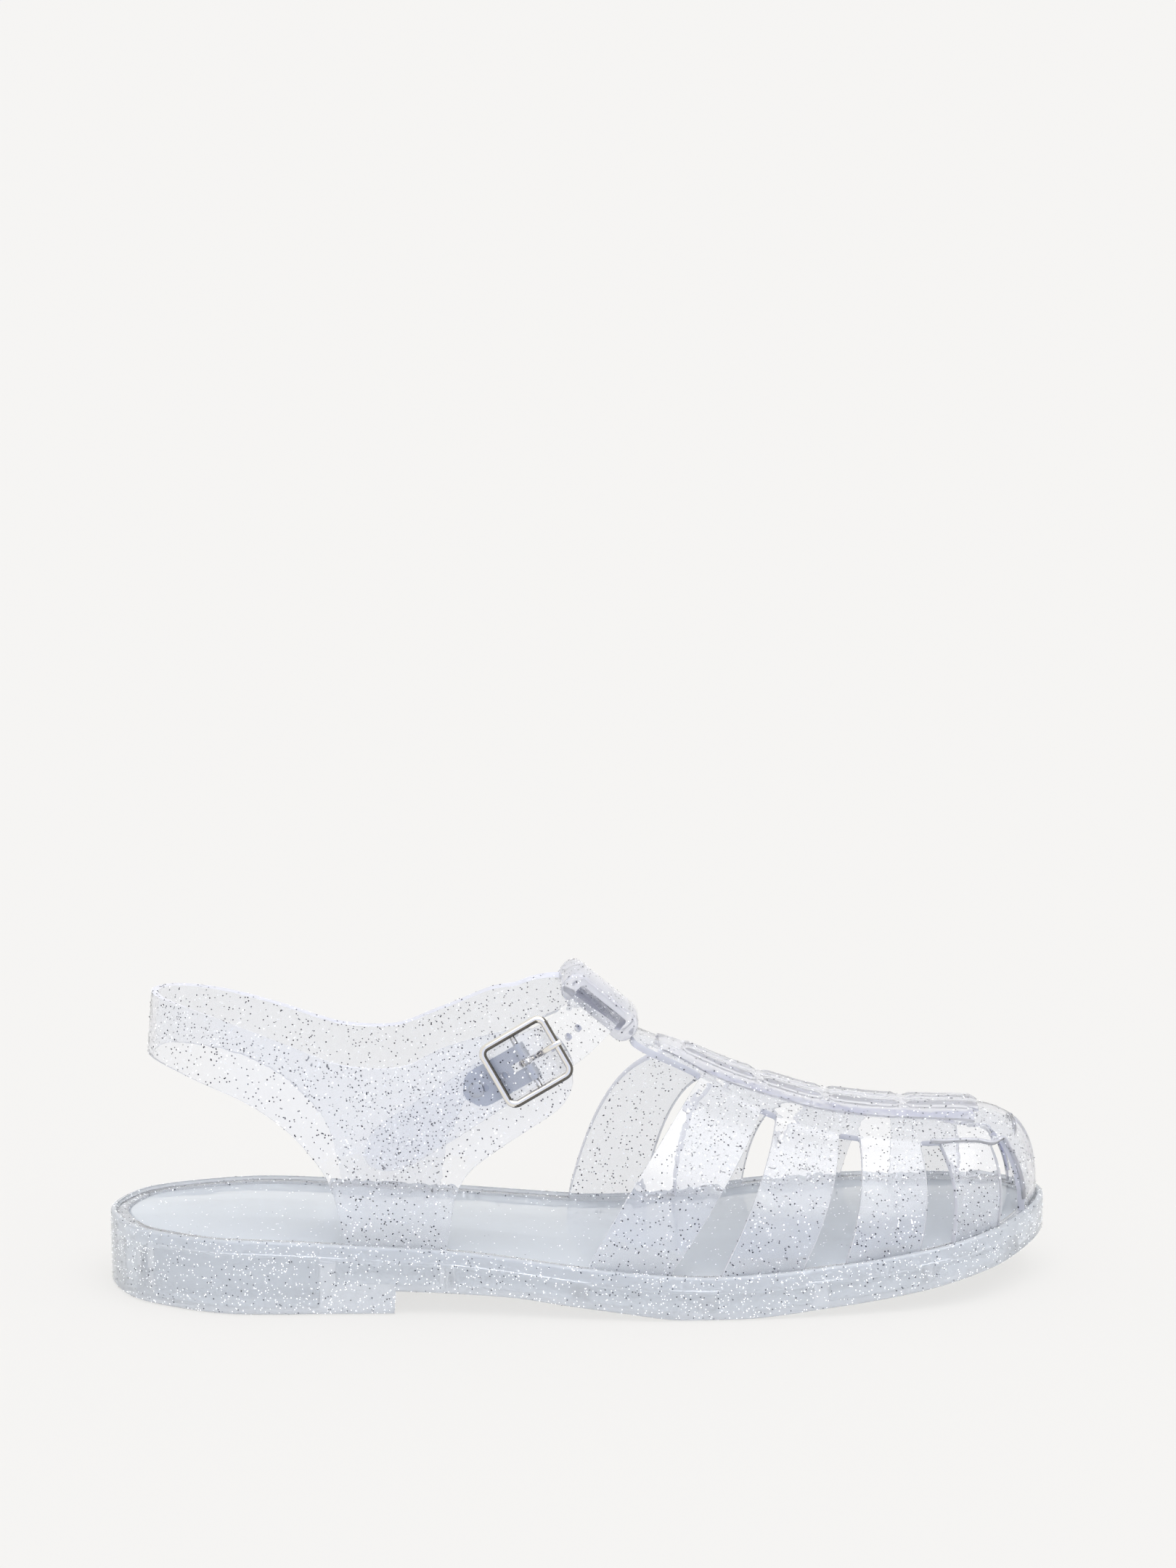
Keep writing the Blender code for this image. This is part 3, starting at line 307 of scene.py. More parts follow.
# Rows of these two tables at the loop and the buckle, frames of the strap to a row, and frames
# over which its free tip rounds
LOOP_ROW = 4
BUCKLE_ROW = 1
FRAME_STEPS = 4
STRAP_TIP = 5
TIP_ROUND = 0.94
# Normal of the ankle strap at the sides of the instep, before scaling, and how it eases to them
SIDE_LEAN = (0.05, 0.38)
LEAN_REACH = 0.20
LEAN_POWER = 1.2

# Plastics. Columns: surface colour, colour and density of what its depth takes up, roughness,
# strength and scale of the moulding waves, clarity
PLASTICS = {
    "clear_jelly_look": ((0.975, 0.982, 1.0), (0.50, 0.56, 0.86), 7.0, 0.02, 0.10, 160, 0.90),
    # Same plastic made bluer and milkier for the cut edges: painted reflection of the lavender light on
    # them
    "edge_reflection_jelly_look": ((0.92, 0.93, 1.0), (0.50, 0.56, 0.86), 6.0, 0.06, 0.08, 160, 0.32),
    "crest_jelly_look": ((0.965, 0.97, 1.0), (0.50, 0.56, 0.86), 2.5, 0.05, 0.08, 160, 0.72),
    "clear_sole_look": ((0.93, 0.962, 1.0), (0.50, 0.60, 0.92), 2.0, 0.08, 0.06, 160, 0.64),
    "clear_insole_look": ((0.905, 0.95, 1.0), (0.50, 0.62, 0.85), 2.0, 0.05, 0.10, 120, 0.48),
}
# Metals. Columns: colour, roughness, how much rougher it gets, scale of that grain
METALS = {
    "nickel_look": ((0.84, 0.81, 0.76), 0.07, 0.06, 300),
    # Dark copy of the nickel: painted shade for the buckle frame's shaded side
    "nickel_painted_shade_look": ((0.15, 0.14, 0.125), 0.14, 0.10, 300),
    "steel_look": ((0.50, 0.52, 0.56), 0.30, 0.15, 500),
    "silver_flake": ((0.95, 0.96, 0.98), 0.18, 0.1, 400),
    # The dark flake is the silver flake's dark copy: painted dark reflection, not a glitter of its own
    # colour
    "dark_reflection_flake": ((0.06, 0.06, 0.075), 0.25, 0.1, 400),
}
# Silver flakes are coated film: part metal, with a glow, a painted glint that stands in for their many
# glints
FLAKE_METAL = 0.3
FLAKE_PAINTED_GLINT = 0.45
# Way that the buckle frame's shaded faces look, and how far they turn to it; those faces get painted
# shade in a darker nickel
SHADED_WAY = Vector((0.94, 0.0, -0.33))
SHADED_FROM = 0.08

# Glitter: how many flakes, their radius and the share of dark ones, which are painted dark reflection
FLAKES = {"upper": 11000, "outsole": 18500, "insole": 1200}
FLAKE = {"upper": 0.00023, "outsole": 0.00020, "insole": 0.00019}
# Each piece's share of dark flakes follows how the light falls on it: painted dark reflection
DARK_REFLECTION_SHARE = {"upper": 0.56, "outsole": 0.20, "insole": 0.10}
FLAKE_SPREAD = (0.75, 1.15)
FLAKE_SEED = 11
FLAKE_THICK = 0.00004
FLAKE_SIDES = 5
FLAKE_TILT = math.radians(12)
# Depth of the flakes under the skin: below 0 they stand a little proud of it
FLAKE_DEPTH = (-0.00009, -0.00002)
# A face that meets another within BAY_REACH is inside the sole. One that looks down gets a share
BAY_REACH = 0.08
UNDER_WAY = -0.7
UNDER_SHARE = 0.35
TINY = 1e-18

# Camera: turn and height in degrees, aim point and distance in metres
VIEW_TURN = 3.14
VIEW_HIGH = 16.0
VIEW_DISTANCE = 1.4
VIEW_LENS = 118.1
VIEW_AIM = (0.0001, -0.0020, 0.035)
VIEW_SENSOR = 36.0
VIEW_FAR = 200.0
# Photograph's size and where the aim point lies in it, in pixels
PHOTO = (1620, 2160)
AIM_PIXEL = (798.0, 1583.9)

# Studio
FLOOR_HALF = 20
FLOOR_DROP = 0.0002
FLOOR = (0.18, 0.178, 0.175, 1)
FLOOR_GLOW = (1.0, 0.991, 0.973, 1)
FLOOR_GLOW_LEVEL = 0.68
BACKDROP = (0.913, 0.905, 0.888)
# Direction, inner and outer half angle in degrees, radiance
LIGHTS = [
    ((0.0, -1.0, 0.30), 16, 46, (0.84, 0.91, 1.12)),
    ((0.15, -0.30, 0.94), 20, 38, (2.7, 2.7, 2.75)),
]


def smooth(table, x):
    """Smooth monotone curve through the rows of a two-column table."""
    xs = np.array([row[0] for row in table])
    ys = np.array([row[1] for row in table])
    x = np.clip(x, xs[0], xs[-1])
    step = np.diff(xs)
    slope = np.diff(ys) / step
    tangent = np.zeros(len(xs))
    tangent[0], tangent[-1] = slope[0], slope[-1]
    for i in range(1, len(xs) - 1):
        if slope[i - 1] * slope[i] > 0:
            tangent[i] = 2 * slope[i - 1] * slope[i] / (slope[i - 1] + slope[i])
    i = np.clip(np.searchsorted(xs, x) - 1, 0, len(step) - 1)
    t = (x - xs[i]) / step[i]
    rise = (2 * t**3 - 3 * t**2 + 1) * ys[i] + (3 * t**2 - 2 * t**3) * ys[i + 1]
    return rise + step[i] * ((t**3 - 2 * t**2 + t) * tangent[i] + (t**3 - t**2) * tangent[i + 1])


def curve(points, closed=False, steps=12):
    """Points along a smooth curve through the given points."""
    pts = [np.array(p, float) for p in points]
    count = len(pts)
    out = []
    for i in range(count if closed else count - 1):
        a = pts[(i - 1) % count] if closed or i > 0 else 2 * pts[0] - pts[1]
        b, c = pts[i], pts[(i + 1) % count]
        d = pts[(i + 2) % count] if closed or i < count - 2 else 2 * pts[-1] - pts[-2]
        for k in range(steps):
            t = k / steps
            out.append(0.5 * (2 * b + (c - a) * t + (2 * a - 5 * b + 4 * c - d) * t**2
                              + (3 * b - a - 3 * c + d) * t**3))
    if not closed:
        out.append(pts[-1])
    return np.array(out)


def unit(way):
    return way / np.linalg.norm(way)


def lengths(line):
    """Length along a line of points at each of them."""
    return np.concatenate([[0], np.cumsum(np.linalg.norm(np.diff(line, axis=0), axis=1))])


def plan_outline():
    """Outline as points from heel tip round to heel tip, with inward normals, centred in the box."""
    pts = curve([(x * LENGTH, y * BALL_WIDTH) for x, y in OUTLINE], closed=True)
    low, high = pts.min(axis=0), pts.max(axis=0)
    pts = (pts - (low + high) / 2)
    ahead = np.roll(pts, -1, axis=0) - np.roll(pts, 1, axis=0)
    normals = np.stack([-ahead[:, 1], ahead[:, 0]], axis=1)
    return pts, normals / np.linalg.norm(normals, axis=1)[:, None]


PLAN, PLAN_NORMALS = plan_outline()
OUTER, INNER = -1, 1


def side_line(side, inset):
    """One side of the inset outline from heel tip to toe tip."""
    pts = PLAN + PLAN_NORMALS * inset
    heel, toe = int(np.argmin(pts[:, 0])), int(np.argmax(pts[:, 0]))
    way = 1 if side == OUTER else -1
    return pts[[(heel + way * k) % len(pts) for k in range((toe - heel) * way % len(pts) + 1)]]


def edge_y(side, x, inset):
    """Where the inset outline lies on one side at x."""
    line = side_line(side, inset)
    return np.interp(x, line[:, 0], line[:, 1])


def run_point(side, share, inset):
    """Point at a share of the way from heel tip to toe tip along one side."""
    line = side_line(side, inset)
    run = lengths(line)
    at = share * run[-1]
    return np.array([np.interp(at, run, line[:, 0]), np.interp(at, run, line[:, 1])])


def run_share(side, x, inset):
    """Share of one side's run at which it reaches x."""
    line = side_line(side, inset)
    run = lengths(line)
    return np.interp(x, line[:, 0], run) / run[-1]


def station(share):
    """x of a share of LENGTH from the heel tip."""
    return share * LENGTH - LENGTH / 2


def share_of(x):
    return (x + LENGTH / 2) / LENGTH


def rim_z(x):
    return smooth(RIM, share_of(x)) * SOLE_HEIGHT


def under_z(x):
    return smooth(UNDERSIDE, share_of(x)) * SHANK_STEP


def ridge_z(x):
    """Height of the upper's crest, falling to the rim over the toe dome."""
    share = share_of(x)
    if share <= DOME_START:
        return smooth(RIDGE, share) * INSTEP_HEIGHT
    along = min((share - DOME_START) / (DOME_END - DOME_START), 1.0)
    top = smooth(RIDGE, DOME_START) * INSTEP_HEIGHT
    foot = rim_z(station(DOME_END))
    return foot + (top - foot) * (1 - along**DOME_ALONG) ** (1 / DOME_UP)


def vamp_z(x, y):
    """Height of the vamp's outer face over a plan point."""
    side = OUTER if y < RIDGE_Y else INNER
    edge = edge_y(side, x, SHELL_INSET)
    across = min(abs((y - RIDGE_Y) / (edge - RIDGE_Y)), 1.0)
    return rim_z(x) + (ridge_z(x) - rim_z(x)) * (1 - across**SECTION_ACROSS) ** (1 / SECTION_UP)


def new_material(name, **values):
    mat = bpy.data.materials.new(name)
    mat.use_nodes = True
    set_socket(mat, **values)
    return mat


def set_socket(mat, **values):
    for key, value in values.items():
        mat.node_tree.nodes["Principled BSDF"].inputs[key.replace("_", " ")].default_value = value


def link(mat, source, key):
    """Lead a node's output to an input of the shader."""
    mat.node_tree.links.new(source, mat.node_tree.nodes["Principled BSDF"].inputs[key])


def add_node(tree, kind, **values):
    """New node with its settings and input values. Another node's output is linked to the input."""
    node = tree.nodes.new(kind)
    for key, value in values.items():
        if hasattr(node, key):
            setattr(node, key, value)
        elif isinstance(value, bpy.types.NodeSocket):
            tree.links.new(value, node.inputs[key.replace("_", " ")])
        else:
            node.inputs[key.replace("_", " ")].default_value = value
    return node


def jelly(name, color, absorb, density, roughness, wave, wave_scale, clarity):
    """Clear soft plastic, a little cloudy: faint moulding waves, and colour taken up in its depth."""
    mat = new_material(name, Base_Color=(*color, 1), Roughness=roughness, IOR=1.47,
                       Transmission_Weight=clarity)
    tree = mat.node_tree
    where = add_node(tree, "ShaderNodeTexCoord").outputs["Object"]
    noise = add_node(tree, "ShaderNodeTexNoise", Scale=wave_scale, Detail=2.0, Roughness=0.45,
                     Vector=where)
    bump = add_node(tree, "ShaderNodeBump", Strength=wave, Distance=0.001, Height=noise.outputs["Fac"])
    link(mat, bump.outputs["Normal"], "Normal")
    volume = add_node(tree, "ShaderNodeVolumeAbsorption", Density=density, Color=(*absorb, 1))
    tree.links.new(volume.outputs["Volume"], tree.nodes["Material Output"].inputs["Volume"])
    return mat


def metal(name, color, roughness, spread, grain):
    """Metal with faint uneven polish."""
    mat = new_material(name, Base_Color=(*color, 1), Metallic=1.0, Roughness=roughness)
    where = add_node(mat.node_tree, "ShaderNodeTexCoord").outputs["Object"]
    noise = add_node(mat.node_tree, "ShaderNodeTexNoise", Scale=grain, Detail=3.0, Vector=where)
    rough = add_node(mat.node_tree, "ShaderNodeMapRange", To_Min=roughness, To_Max=roughness + spread,
                     Value=noise.outputs["Fac"])
    link(mat, rough.outputs["Result"], "Roughness")
    return mat


def new_object(name, verts, faces):
    """Object from points and faces, with doubled points merged and its faces turned outward."""
    mesh = bpy.data.meshes.new(name)
    mesh.from_pydata([tuple(float(c) for c in v) for v in verts], [], faces)
    bm = bmesh.new()
    bm.from_mesh(mesh)
    bmesh.ops.remove_doubles(bm, verts=bm.verts, dist=1e-6)
    bmesh.ops.recalc_face_normals(bm, faces=bm.faces)
    bm.to_mesh(mesh)
    bm.free()
    obj = bpy.data.objects.new(name, mesh)
    bpy.context.scene.collection.objects.link(obj)
    return obj


# Helper solids of the booleans, removed once those are applied
GUIDES = []


def combine(obj, other, operation):
    mod = obj.modifiers.new(other.name, "BOOLEAN")
    mod.operation = operation
    mod.object = other
    mod.solver = "EXACT"
    GUIDES.append(other)


def clothe(obj, mats, index=0):
    """Give all of the piece's faces one of the materials."""
    obj.data.materials.clear()
    for mat in mats:
        obj.data.materials.append(mat)
    obj.data.polygons.foreach_set("material_index", [index] * len(obj.data.polygons))
    return obj


def settle(obj, mat=None, angle=32):
    """Apply the piece's modifiers, smooth it up to an angle and give it its material, if named."""
    deps = bpy.context.evaluated_depsgraph_get()
    mesh = bpy.data.meshes.new_from_object(obj.evaluated_get(deps))
    obj.modifiers.clear()
    obj.data = mesh
    for guide in GUIDES:
        bpy.data.objects.remove(guide, do_unlink=True)
    GUIDES.clear()
    if mat:
        clothe(obj, (mat,))
    mesh.polygons.foreach_set("use_smooth", [True] * len(mesh.polygons))
    mesh.set_sharp_from_angle(angle=math.radians(angle))
    return obj


def soften(obj, width, angle):
    """Round the piece's edges that are sharper than the angle."""
    mod = obj.modifiers.new("round", "BEVEL")
    mod.width = width
    mod.segments = 2
    mod.limit_method = "ANGLE"
    mod.angle_limit = math.radians(angle)
    mod.use_clamp_overlap = False
    return obj


def skin(rings, closed=False, base=0):
    """Faces over rings of equal length, capped unless closed. The first point's number is base."""
    count = len(rings[0])
    last = len(rings) if closed else len(rings) - 1
    faces = []
    for i in range(last):
        a, b = base + i * count, base + (i + 1) % len(rings) * count
        faces += [(a + k, a + (k + 1) % count, b + (k + 1) % count, b + k) for k in range(count)]
    if not closed:
        faces.append(tuple(range(base, base + count))[::-1])
        faces.append(tuple(range(base + last * count, base + (last + 1) * count)))
    return faces


def loft(name, rings, closed=False):
    return new_object(name, [p for ring in rings for p in ring], skin(rings, closed))


def plan_ends(inset):
    """x of the inset outline's heel tip and toe tip."""
    line = side_line(OUTER, inset)
    return line[0][0], line[-1][0]


def sole_stations(inset):
    """x places, closer together at the round ends."""
    heel, toe = plan_ends(inset)
    half = (toe - heel) / 2
    last = SOLE_STATIONS - 1 + 2 * END_SHARE
    return [heel + half * (1 - math.cos(math.pi * (i + END_SHARE) / last))
            for i in range(SOLE_STATIONS)]


def rounded_slab(name, xs, inset, low, high, edge, steps=4):
    """Solid inside the inset outline between two heights, with its long edges rounded."""
    rings = []
    heel, toe = plan_ends(inset)
    turns = [math.radians(90 * k / steps) for k in range(steps + 1)]
    for x in xs:
        room = max(min(x - heel, toe - x), 0.0)
        ends = {OUTER: [], INNER: []}
        for side in (OUTER, INNER):
            for turn in turns:
                shift = min(edge * (1 - math.cos(turn)), room)
                fall = edge - math.sqrt(max(edge**2 - (edge - shift) ** 2, 0))
                ends[side].append((edge_y(side, x, inset + shift), fall))
        half = ends[OUTER] + ends[INNER][::-1]
        rings.append([(x, y, low(x) + fall) for y, fall in half]
                     + [(x, y, high(x) - fall) for y, fall in half[::-1]])
    return loft(name, rings)


def outsole_look(mat):
    """Sole with its rebate for the upper's ring and its cored bays underneath."""
    breast = station(HEEL_BREAST / LENGTH)
    xs = [x for x in sole_stations(0) if abs(x - breast) > BREAST_ROOM]
    xs = sorted(xs + [breast - BREAST_STEP / 2, breast + BREAST_STEP / 2])
    sole = rounded_slab("outsole_clear", xs, 0.0, lambda x: 0.0 if x < breast else under_z(x), rim_z,
                        SOLE_EDGE)
    rings = []
    for x in sole_stations(LIP):
        a, b = edge_y(OUTER, x, LIP), edge_y(INNER, x, LIP)
        low, high = rim_z(x) - REBATE, rim_z(x) + REBATE
        rings.append([(x, a, low), (x, b, low), (x, b, high), (x, a, high)])
    combine(sole, loft("rebate", rings), "DIFFERENCE")
    verts, faces = [], []
    stops = [0.0] + RIB_PLACES + [1.0]
    for bay, (start, end) in enumerate(zip(stops, stops[1:])):
        first, final = bay == 0, bay == len(stops) - 2
        x0 = station(start) + (END_WALL if first else RIB / 2)
        x1 = station(end) - (END_WALL if final else RIB / 2)
        cuts = [0.0, 1.0] if first or final else [0.0] + LONG_RIB_PLACES + [1.0]
        for left, right in zip(cuts, cuts[1:]):
            rings = bay_rings(x0, x1, left, right)
            faces += skin(rings, base=len(verts))
            verts += [p for ring in rings for p in ring]
    combine(sole, soften(new_object("bays", verts, faces), BAY_EDGE, 60), "DIFFERENCE")
    return settle(sole, mat)


def bay_rings(x0, x1, left, right):
    """Sections of one cored bay between cross ribs and lengthwise ribs."""
    steps = max(2, round((x1 - x0) / BAY_STEP))
    in_heel = x1 < station(HEEL_BREAST / LENGTH)
    rings = []
    for i in range(steps + 1):
        x = x0 + (x1 - x0) * i / steps
        a, b = edge_y(OUTER, x, SOLE_WALL), edge_y(INNER, x, SOLE_WALL)
        y0 = a + (b - a) * left + (LONG_RIB / 2 if left > 0 else 0)
        y1 = a + (b - a) * right - (LONG_RIB / 2 if right < 1 else 0)
        z0 = (0.0 if in_heel else under_z(x)) + SOLE_FLOOR
        z1 = rim_z(x) - REBATE + BAY_TOP
        rings.append([(x, y0, z0), (x, y1, z0), (x, y1, z1), (x, y0, z1)])
    return rings


def insole_look(mat):
    """Thin sheet inside the upper's ring."""
    inset = LIP + CLEAR + RING_WIDTH + CLEAR
    bed = rounded_slab("insole_clear", sole_stations(inset), inset,
                       lambda x: rim_z(x) - REBATE + CLEAR, lambda x: rim_z(x) - INSOLE_DROP,
                       BED_EDGE, 3)
    return settle(bed, mat)


def base_ring():
    """Ring of the upper that sits in the sole's rebate, round the insole."""
    rings = []
    shares = np.linspace(0, 1, RING_POINTS)
    for side, run in ((OUTER, shares[:-1]), (INNER, shares[:0:-1])):
        for share in run:
            a = run_point(side, share, LIP + CLEAR)
            b = run_point(side, share, LIP + CLEAR + RING_WIDTH)
            rings.append([(*a, rim_z(a[0]) - REBATE + CLEAR), (*b, rim_z(b[0]) - REBATE + CLEAR),
                          (*b, rim_z(b[0]) - RING_DROP), (*a, rim_z(a[0]) - RING_DROP)])
    return soften(loft("base_ring", rings, closed=True), RING_EDGE, 60)


def vamp_columns():
    """Lines across the vamp from throat to toe tip, each with the kind of cell that follows it.

    A line holds the outer foot's place on its side's run and its point at the spine's edge, then
    the inner ones.
    """
    lines, edges = [], []

    def top(side, x):
        return station(x), RIDGE_Y + side * smooth(SPINE, x) * BALL_WIDTH

    def fill(start, end, shares, kind):
        lines.extend((start + (end - start) * t, kind) for t in shares)

    for row in STRAPS:
        for k in (0, 1):
            foot_out, outer_x, foot_in, inner_x = row[k::2]
            edges.append(np.array(
                [run_share(OUTER, station(foot_out), SHELL_INSET), *top(OUTER, outer_x),
                 run_share(INNER, station(foot_in), SHELL_INSET), *top(INNER, inner_x)]))
    throat = np.array([edges[0][0], *top(OUTER, THROAT), edges[0][3], *top(INNER, THROAT)])
    fill(throat, edges[0], (0, 0.34, 0.67), "spine")
    for i in range(len(edges) - 1):
        shares, kind = ((0, 0.5), "spine") if i % 2 else ((0, 0.25, 0.5, 0.75), "strap")
        fill(edges[i], edges[i + 1], shares, kind)
    rear, half = station(FAN_REAR), FAN_HALF * BALL_WIDTH
    band = np.array([FAN_FOOT, rear, RIDGE_Y - half, FAN_FOOT, rear, RIDGE_Y + half])
    tip = np.array([1.0, station(FAN_TIP), RIDGE_Y] * 2)
    fill(edges[-1], band, (0, 0.5), "spine")
    for t in (0, 0.25, 0.5, 0.75):
        line = band + (tip - band) * t
        ahead, out = math.sin(math.radians(90 * t)), math.cos(math.radians(90 * t))
        reach = (FAN_TIP - FAN_CENTRE) * ahead + (FAN_REAR - FAN_CENTRE) * out
        x = station(FAN_CENTRE) + reach * LENGTH
        line[1:3], line[4:6] = (x, RIDGE_Y - half * out), (x, RIDGE_Y + half * out)
        lines.append((line, "toe"))
    lines.append((tip, "end"))
    return lines


def vamp_rows(lines):
    """Points of the vamp's outer face: a row for each line, from the outer foot to the inner one."""
    rows = []
    for line, kind in lines:
        row = []
        for side, foot, top in ((OUTER, line[0], line[1:3]), (INNER, line[3], line[4:6])):
            base = run_point(side, foot, SHELL_INSET)
            nearby = run_point(side, max(foot - RUN_REACH, 0), SHELL_INSET)
            beyond = run_point(side, min(foot + RUN_REACH, 1), SHELL_INSET)
            run = unit(beyond - nearby)
            if kind == "end":
                run = np.array([0.0, 1.0])
            forward = run * run.dot(top - base)
            inward = top - base - forward
            step = 0.0 if kind in ("toe", "end") else STRAP_STEP
            within = unit(inward)
            part = [(*(base + within * step), rim_z(base[0]) - FOOT_SINK)]
            turns = [RIB_TURN * k / VAMP_RISE for k in range(VAMP_RISE)]
            turns += [RIB_TURN - STEP_TURN, RIB_TURN]
            for turn in turns:
                sweep = (1 - math.cos(turn)) / (1 - math.cos(RIB_TURN))
                straight = math.sin(turn) / math.sin(RIB_TURN)
                ahead = sweep + (straight - sweep) * STRAIGHT[side]
                plan = base + forward * ahead + inward * sweep
                height = vamp_z(*plan) if turn > 0 else rim_z(base[0])
                sunk = step if turn < RIB_TURN else 0.0
                plan = plan + within * sunk * math.cos(turn)
                part.append((*plan, height - sunk * math.sin(turn)))
            row.append(part)
        middle = []
        a, b = line[1:3], line[4:6]
        for k in range(1, VAMP_ACROSS):
            plan = a + (b - a) * k / VAMP_ACROSS
            middle.append((*plan, vamp_z(*plan)))
        rows.append(row[0] + middle + row[1][::-1])
    return rows


def toe_rim(sign):
    """Bead along the toe cap's arched edge, over the last strap and down the last opening's front."""
    lines = vamp_columns()
    rows = vamp_rows(lines)
    kinds = [kind for _, kind in lines]
    first = len(kinds) - 1 - kinds[::-1].index("strap") - 3
    band = kinds.index("toe")
    top = VAMP_RISE + 2
    spots = [(i, top) for i in range(first - 1, band + 1)]
    spots += [(band, k) for k in range(top - 2, 0, -2)]
    if sign > 0:
        spots = [(i, len(rows[0]) - 1 - k) for i, k in spots]
    path = [np.array(p) for p in curve([rows[i][k] for i, k in spots], steps=4)]
    return tube("toe_rim", path, RIM_BEAD, RIM_BEAD, 12, np.array(RIM_WAY) * (1, sign, 1))


def vamp_shell(mats):
    """Toe cap, spine and straps as one sheet of cells with a wall."""
    lines = vamp_columns()
    rows = vamp_rows(lines)
    verts = [p for row in rows for p in row]
    count = len(rows[0])
    faces = []
    for i, (_, kind) in enumerate(lines[:-1]):
        for k in range(count - 1):
            on_spine = VAMP_RISE + 2 <= k < count - VAMP_RISE - 3
            if kind != "spine" or on_spine:
                faces.append(cell(i, k, count))
    sheet = new_object("vamp", verts, faces)
    return give_wall(clothe(sheet, mats), UPPER_WALL, Vector((0, 0, 1)))


def cell(i, k, count):
    """Face between rows i and i + 1 of a grid with count points in a row."""
    a, b = i * count + k, (i + 1) * count + k
    return a, a + 1, b + 1, b


def give_wall(sheet, wall, outward):
    """Turn the sheet outward, thicken it inward and smooth it, with its cut edges softly rounded."""
    mesh = sheet.data
    top = max(mesh.polygons, key=lambda f: f.center.dot(outward))
    if top.normal.dot(outward) < 0:
        mesh.flip_normals()
    mod = sheet.modifiers.new("wall", "SOLIDIFY")
    mod.thickness = wall
    mod.offset = -1.0
    mod.edge_crease_inner = mod.edge_crease_outer = CUT_CREASE
    # Rims take the next material, whose bluer, milkier look is a painted edge reflection
    mod.material_offset_rim = 1
    mod = sheet.modifiers.new("smooth", "SUBSURF")
    mod.levels = mod.render_levels = 2
    return sheet


def wall_point(side, x, z):
    """Outer face of the quarters at x and height z, which leans in above the rim."""
    above = max(z - SOLE_HEIGHT, 0) / (COLLAR_HEIGHT * LEAN_LEVEL - SOLE_HEIGHT)
    ahead = max(x - station(FRONT_TUCK_X / LENGTH), 0) / FRONT_TUCK_LENGTH
    lean = WALL_LEAN * above**2 + FRONT_TUCK * ahead**2 * min(above, 1.0)
    middle = (edge_y(OUTER, x, SHELL_INSET) + edge_y(INNER, x, SHELL_INSET)) / 2
    half = (edge_y(INNER, x, SHELL_INSET) - edge_y(OUTER, x, SHELL_INSET)) / 2 - lean
    return np.array([x, middle + side * half, z])


def heel_point(side, turn, z):
    """Outer face of the heel band: turn 0 where the sides start, 90 degrees at the back."""
    front = station(HEEL_ARC_X / LENGTH)
    back = station(HEEL_BACK / LENGTH) + HEEL_BACK_SLOPE * (z - LEAN_LEVEL * COLLAR_HEIGHT)
    start = wall_point(side, front, z)
    other = wall_point(-side, front, z)
    middle = (start[1] + other[1]) / 2
    power = 2 / HEEL_SQUARE
    x = front - (front - back) * math.sin(turn) ** power
    y = middle + (start[1] - middle) * max(math.cos(turn), 0.0) ** power
    return np.array([x, y, z])


def strap_frames():
    """Centre, direction and normal along the ankle strap, from inner side to free tip."""
    centres = [np.array([station(x), y * BALL_WIDTH, z * INSTEP_HEIGHT]) for x, y, z in STRAP_OVER]
    normals = []
    tilt = np.array([-math.sin(LOOP_TILT), 0, math.cos(LOOP_TILT)])
    for centre in centres:
        lean = (centre[1] - RIDGE_Y) / (LEAN_REACH * BALL_WIDTH)
        away = np.array([SIDE_LEAN[0], np.sign(lean), SIDE_LEAN[1]])
        share = min(abs(lean), 1.0) ** LEAN_POWER
        normals.append(unit(tilt * (1 - share) + away * share))
    for x, z, out in STRAP_DOWN:
        at = station(x)
        level = z * COLLAR_HEIGHT
        here = wall_point(OUTER, at, level)
        ahead = wall_point(OUTER, at + WALL_REACH, level)
        above = wall_point(OUTER, at, level + WALL_REACH)
        n = unit(np.cross(ahead - here, above - here))
        centres.append(here + n * out)
        normals.append(n)
    line = curve(centres, steps=FRAME_STEPS)
    lean = curve(normals, steps=FRAME_STEPS)
    frames = []
    for i in range(len(line)):
        before, after = line[max(i - 1, 0)], line[min(i + 1, len(line) - 1)]
        along = unit(after - before)
        frames.append((line[i], along, unit(lean[i] - along * lean[i].dot(along))))
    return frames


